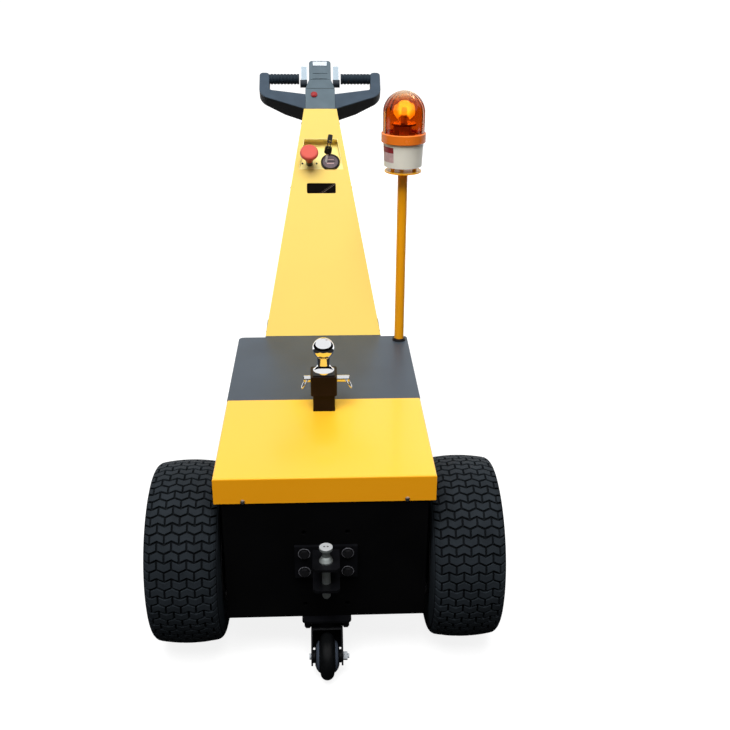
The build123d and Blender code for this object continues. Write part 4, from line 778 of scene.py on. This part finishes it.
def wrapped(name, low, high, material):
    """Band wrapped on the beacon's base between two heights."""
    verts = []
    for n in range(BAND_STEPS + 1):
        angle = radians(BAND_FIRST + (BAND_LAST - BAND_FIRST) * n / BAND_STEPS)
        for z in (low, high):
            r = BASE_FOOT_RADIUS + base_flare * (z - base_bottom) / base_height + BAND_STAND
            verts.append(Vector((beacon_x - r * sin(angle), beacon_y - r * cos(angle), z)) * MM)
    faces = [(2 * n + 2, 2 * n, 2 * n + 1, 2 * n + 3) for n in range(BAND_STEPS)]
    piece(name, verts, faces, material, smooth=True)


wrapped("beacon_label_band", base_top - BAND_MIDDLE, base_top - BAND_TOP, label_red)
wrapped("beacon_label_plain", base_top - BAND_BOTTOM, base_top - BAND_MIDDLE, label_pink)

# Camera fitted to the photograph
CAMERA_PLACE, LENS, SENSOR = (0.0, -2.18903, 1.4704), 46.40, 36.0
pitch, yaw, roll = radians(24.56), radians(2.770), radians(0.418)
forward = Vector((sin(yaw) * cos(pitch), cos(yaw) * cos(pitch), -sin(pitch)))
level = Vector((cos(yaw), -sin(yaw), 0.0))
upward = level.cross(forward)
right = level * cos(roll) + upward * sin(roll)
up = upward * cos(roll) - level * sin(roll)
camera_data = bpy.data.cameras.new("camera")
camera_data.lens = LENS
camera_data.sensor_width = SENSOR
camera = bpy.data.objects.new("camera", camera_data)
rotation = Matrix((right, up, -forward)).transposed().to_4x4()
camera.matrix_world = Matrix.Translation(CAMERA_PLACE) @ rotation
bpy.context.collection.objects.link(camera)
bpy.context.scene.camera = camera


def seen_by(tree, *rays):
    """1 for these kinds of ray and 0 for the rest."""
    path = tree.nodes.new("ShaderNodeLightPath")
    total = path.outputs[rays[0]]
    for ray in rays[1:]:
        total = largest(tree, total, path.outputs[ray])
    return total


def matt(tree, grey):
    """Plain grey surface."""
    node = tree.nodes.new("ShaderNodeBsdfDiffuse")
    node.inputs["Color"].default_value = (grey, grey, grey, 1.0)
    return node.outputs[0]


# Floor: white to the camera and in reflections, but dark in front to reflections, in metres
FLOOR_SIZE, FLOOR_GREY, FLOOR_DARK = 160.0, 0.22, 0.02
NEAR_REACH, FAR_REACH, NEAR_WHITE = 0.8, 2.4, 0.86
FRONT_FADE, FRONT_DARK = 1.1, 0.7
BOUNCE_LOSS = 0.75
bpy.ops.mesh.primitive_plane_add(size=FLOOR_SIZE, location=(0.0, 0.0, 0.0))
floor = bpy.context.object
floor.name = "floor"
floor_paint = bpy.data.materials.new("floor")
floor_paint.use_nodes = True
tree = floor_paint.node_tree
tree.nodes.clear()
output = tree.nodes.new("ShaderNodeOutputMaterial")
glow = tree.nodes.new("ShaderNodeEmission")
seen = seen_by(tree, "Is Camera Ray", "Is Transmission Ray", "Is Glossy Ray")
floor_x, floor_y, _ = coordinates(tree)
whiteness = ramp_between(tree, diagonal(tree, floor_x, floor_y), NEAR_REACH, FAR_REACH, NEAR_WHITE, 1.0)
tree.links.new(multiply(tree, seen, whiteness), glow.inputs["Strength"])
both = tree.nodes.new("ShaderNodeAddShader")
tree.links.new(matt(tree, FLOOR_GREY), both.inputs[0])
tree.links.new(glow.outputs[0], both.inputs[1])
in_front = ramp_between(tree, floor_y, FRONT_FADE, FRONT_DARK)
dark_mirrored = multiply(tree, seen_by(tree, "Is Glossy Ray"), in_front)
little_bounce = multiply(tree, seen_by(tree, "Is Diffuse Ray"), BOUNCE_LOSS)
choice = tree.nodes.new("ShaderNodeMixShader")
tree.links.new(largest(tree, dark_mirrored, little_bounce), choice.inputs["Fac"])
tree.links.new(both.outputs[0], choice.inputs[1])
tree.links.new(matt(tree, FLOOR_DARK), choice.inputs[2])
tree.links.new(choice.outputs[0], output.inputs["Surface"])
floor.data.materials.append(floor_paint)

# World: white to the camera and in reflections, and to other rays a sky that is brighter overhead
HORIZON, OVERHEAD = 0.04, 0.50
world = bpy.data.worlds.new("studio")
bpy.context.scene.world = world
world.use_nodes = True
tree = world.node_tree
tree.nodes.clear()
output = tree.nodes.new("ShaderNodeOutputWorld")
sky = tree.nodes.new("ShaderNodeBackground")
sky.inputs["Color"].default_value = (1.0, 1.0, 1.0, 1.0)
seen = seen_by(tree, "Is Camera Ray", "Is Glossy Ray", "Is Transmission Ray")
soft_sky = ramp_between(tree, coordinates(tree, "Generated")[2], 0.0, 1.0, HORIZON, OVERHEAD)
tree.links.new(largest(tree, seen, soft_sky), sky.inputs["Strength"])
tree.links.new(sky.outputs[0], output.inputs["Surface"])

# Dark drape round the front, in metres, which reflections show and the camera doesn't see
DRAPE_RADIUS, DRAPE_HEIGHT, DRAPE_HALF_SWEEP, DRAPE_STEPS = 6.0, 2.6, 140.0, 30
drape_verts = []
for n in range(DRAPE_STEPS + 1):
    angle = radians(-DRAPE_HALF_SWEEP + 2 * DRAPE_HALF_SWEEP * n / DRAPE_STEPS)
    for height in (0.0, DRAPE_HEIGHT):
        drape_verts.append((DRAPE_RADIUS * sin(angle), -DRAPE_RADIUS * cos(angle), height))
drape_faces = [(2 * n, 2 * n + 2, 2 * n + 3, 2 * n + 1) for n in range(DRAPE_STEPS)]
drape_mesh = bpy.data.meshes.new("dark_drape")
drape_mesh.from_pydata(drape_verts, [], drape_faces)
drape = bpy.data.objects.new("dark_drape", drape_mesh)
bpy.context.collection.objects.link(drape)
dark_cloth = finish_of("dark_cloth", (0.006, 0.006, 0.006), 0.9, specular=0.0, scale=3.0, spread=0.3)
drape_mesh.materials.append(dark_cloth)
drape.visible_camera = False
drape.visible_diffuse = False
drape.visible_transmission = False
drape.visible_shadow = False


def lamp(name, place, aim, size, power):
    """Area lamp that reflections don't show."""
    data = bpy.data.lights.new(name, "AREA")
    data.shape = "RECTANGLE"
    data.size, data.size_y = size
    data.energy = power
    holder = bpy.data.objects.new(name, data)
    holder.location = place
    holder.rotation_euler = (Vector(aim) - Vector(place)).to_track_quat("-Z", "Y").to_euler()
    holder.visible_glossy = False
    bpy.context.collection.objects.link(holder)


lamp("key", place=(-0.8, -3.5, 8.3), aim=(0.0, 0.0, 0.5), size=(6.2, 5.0), power=980.0)
lamp("back", place=(1.6, 4.6, 2.6), aim=(0.0, 0.0, 0.6), size=(3.0, 2.0), power=150.0)

bpy.context.scene.view_settings.view_transform = "Standard"
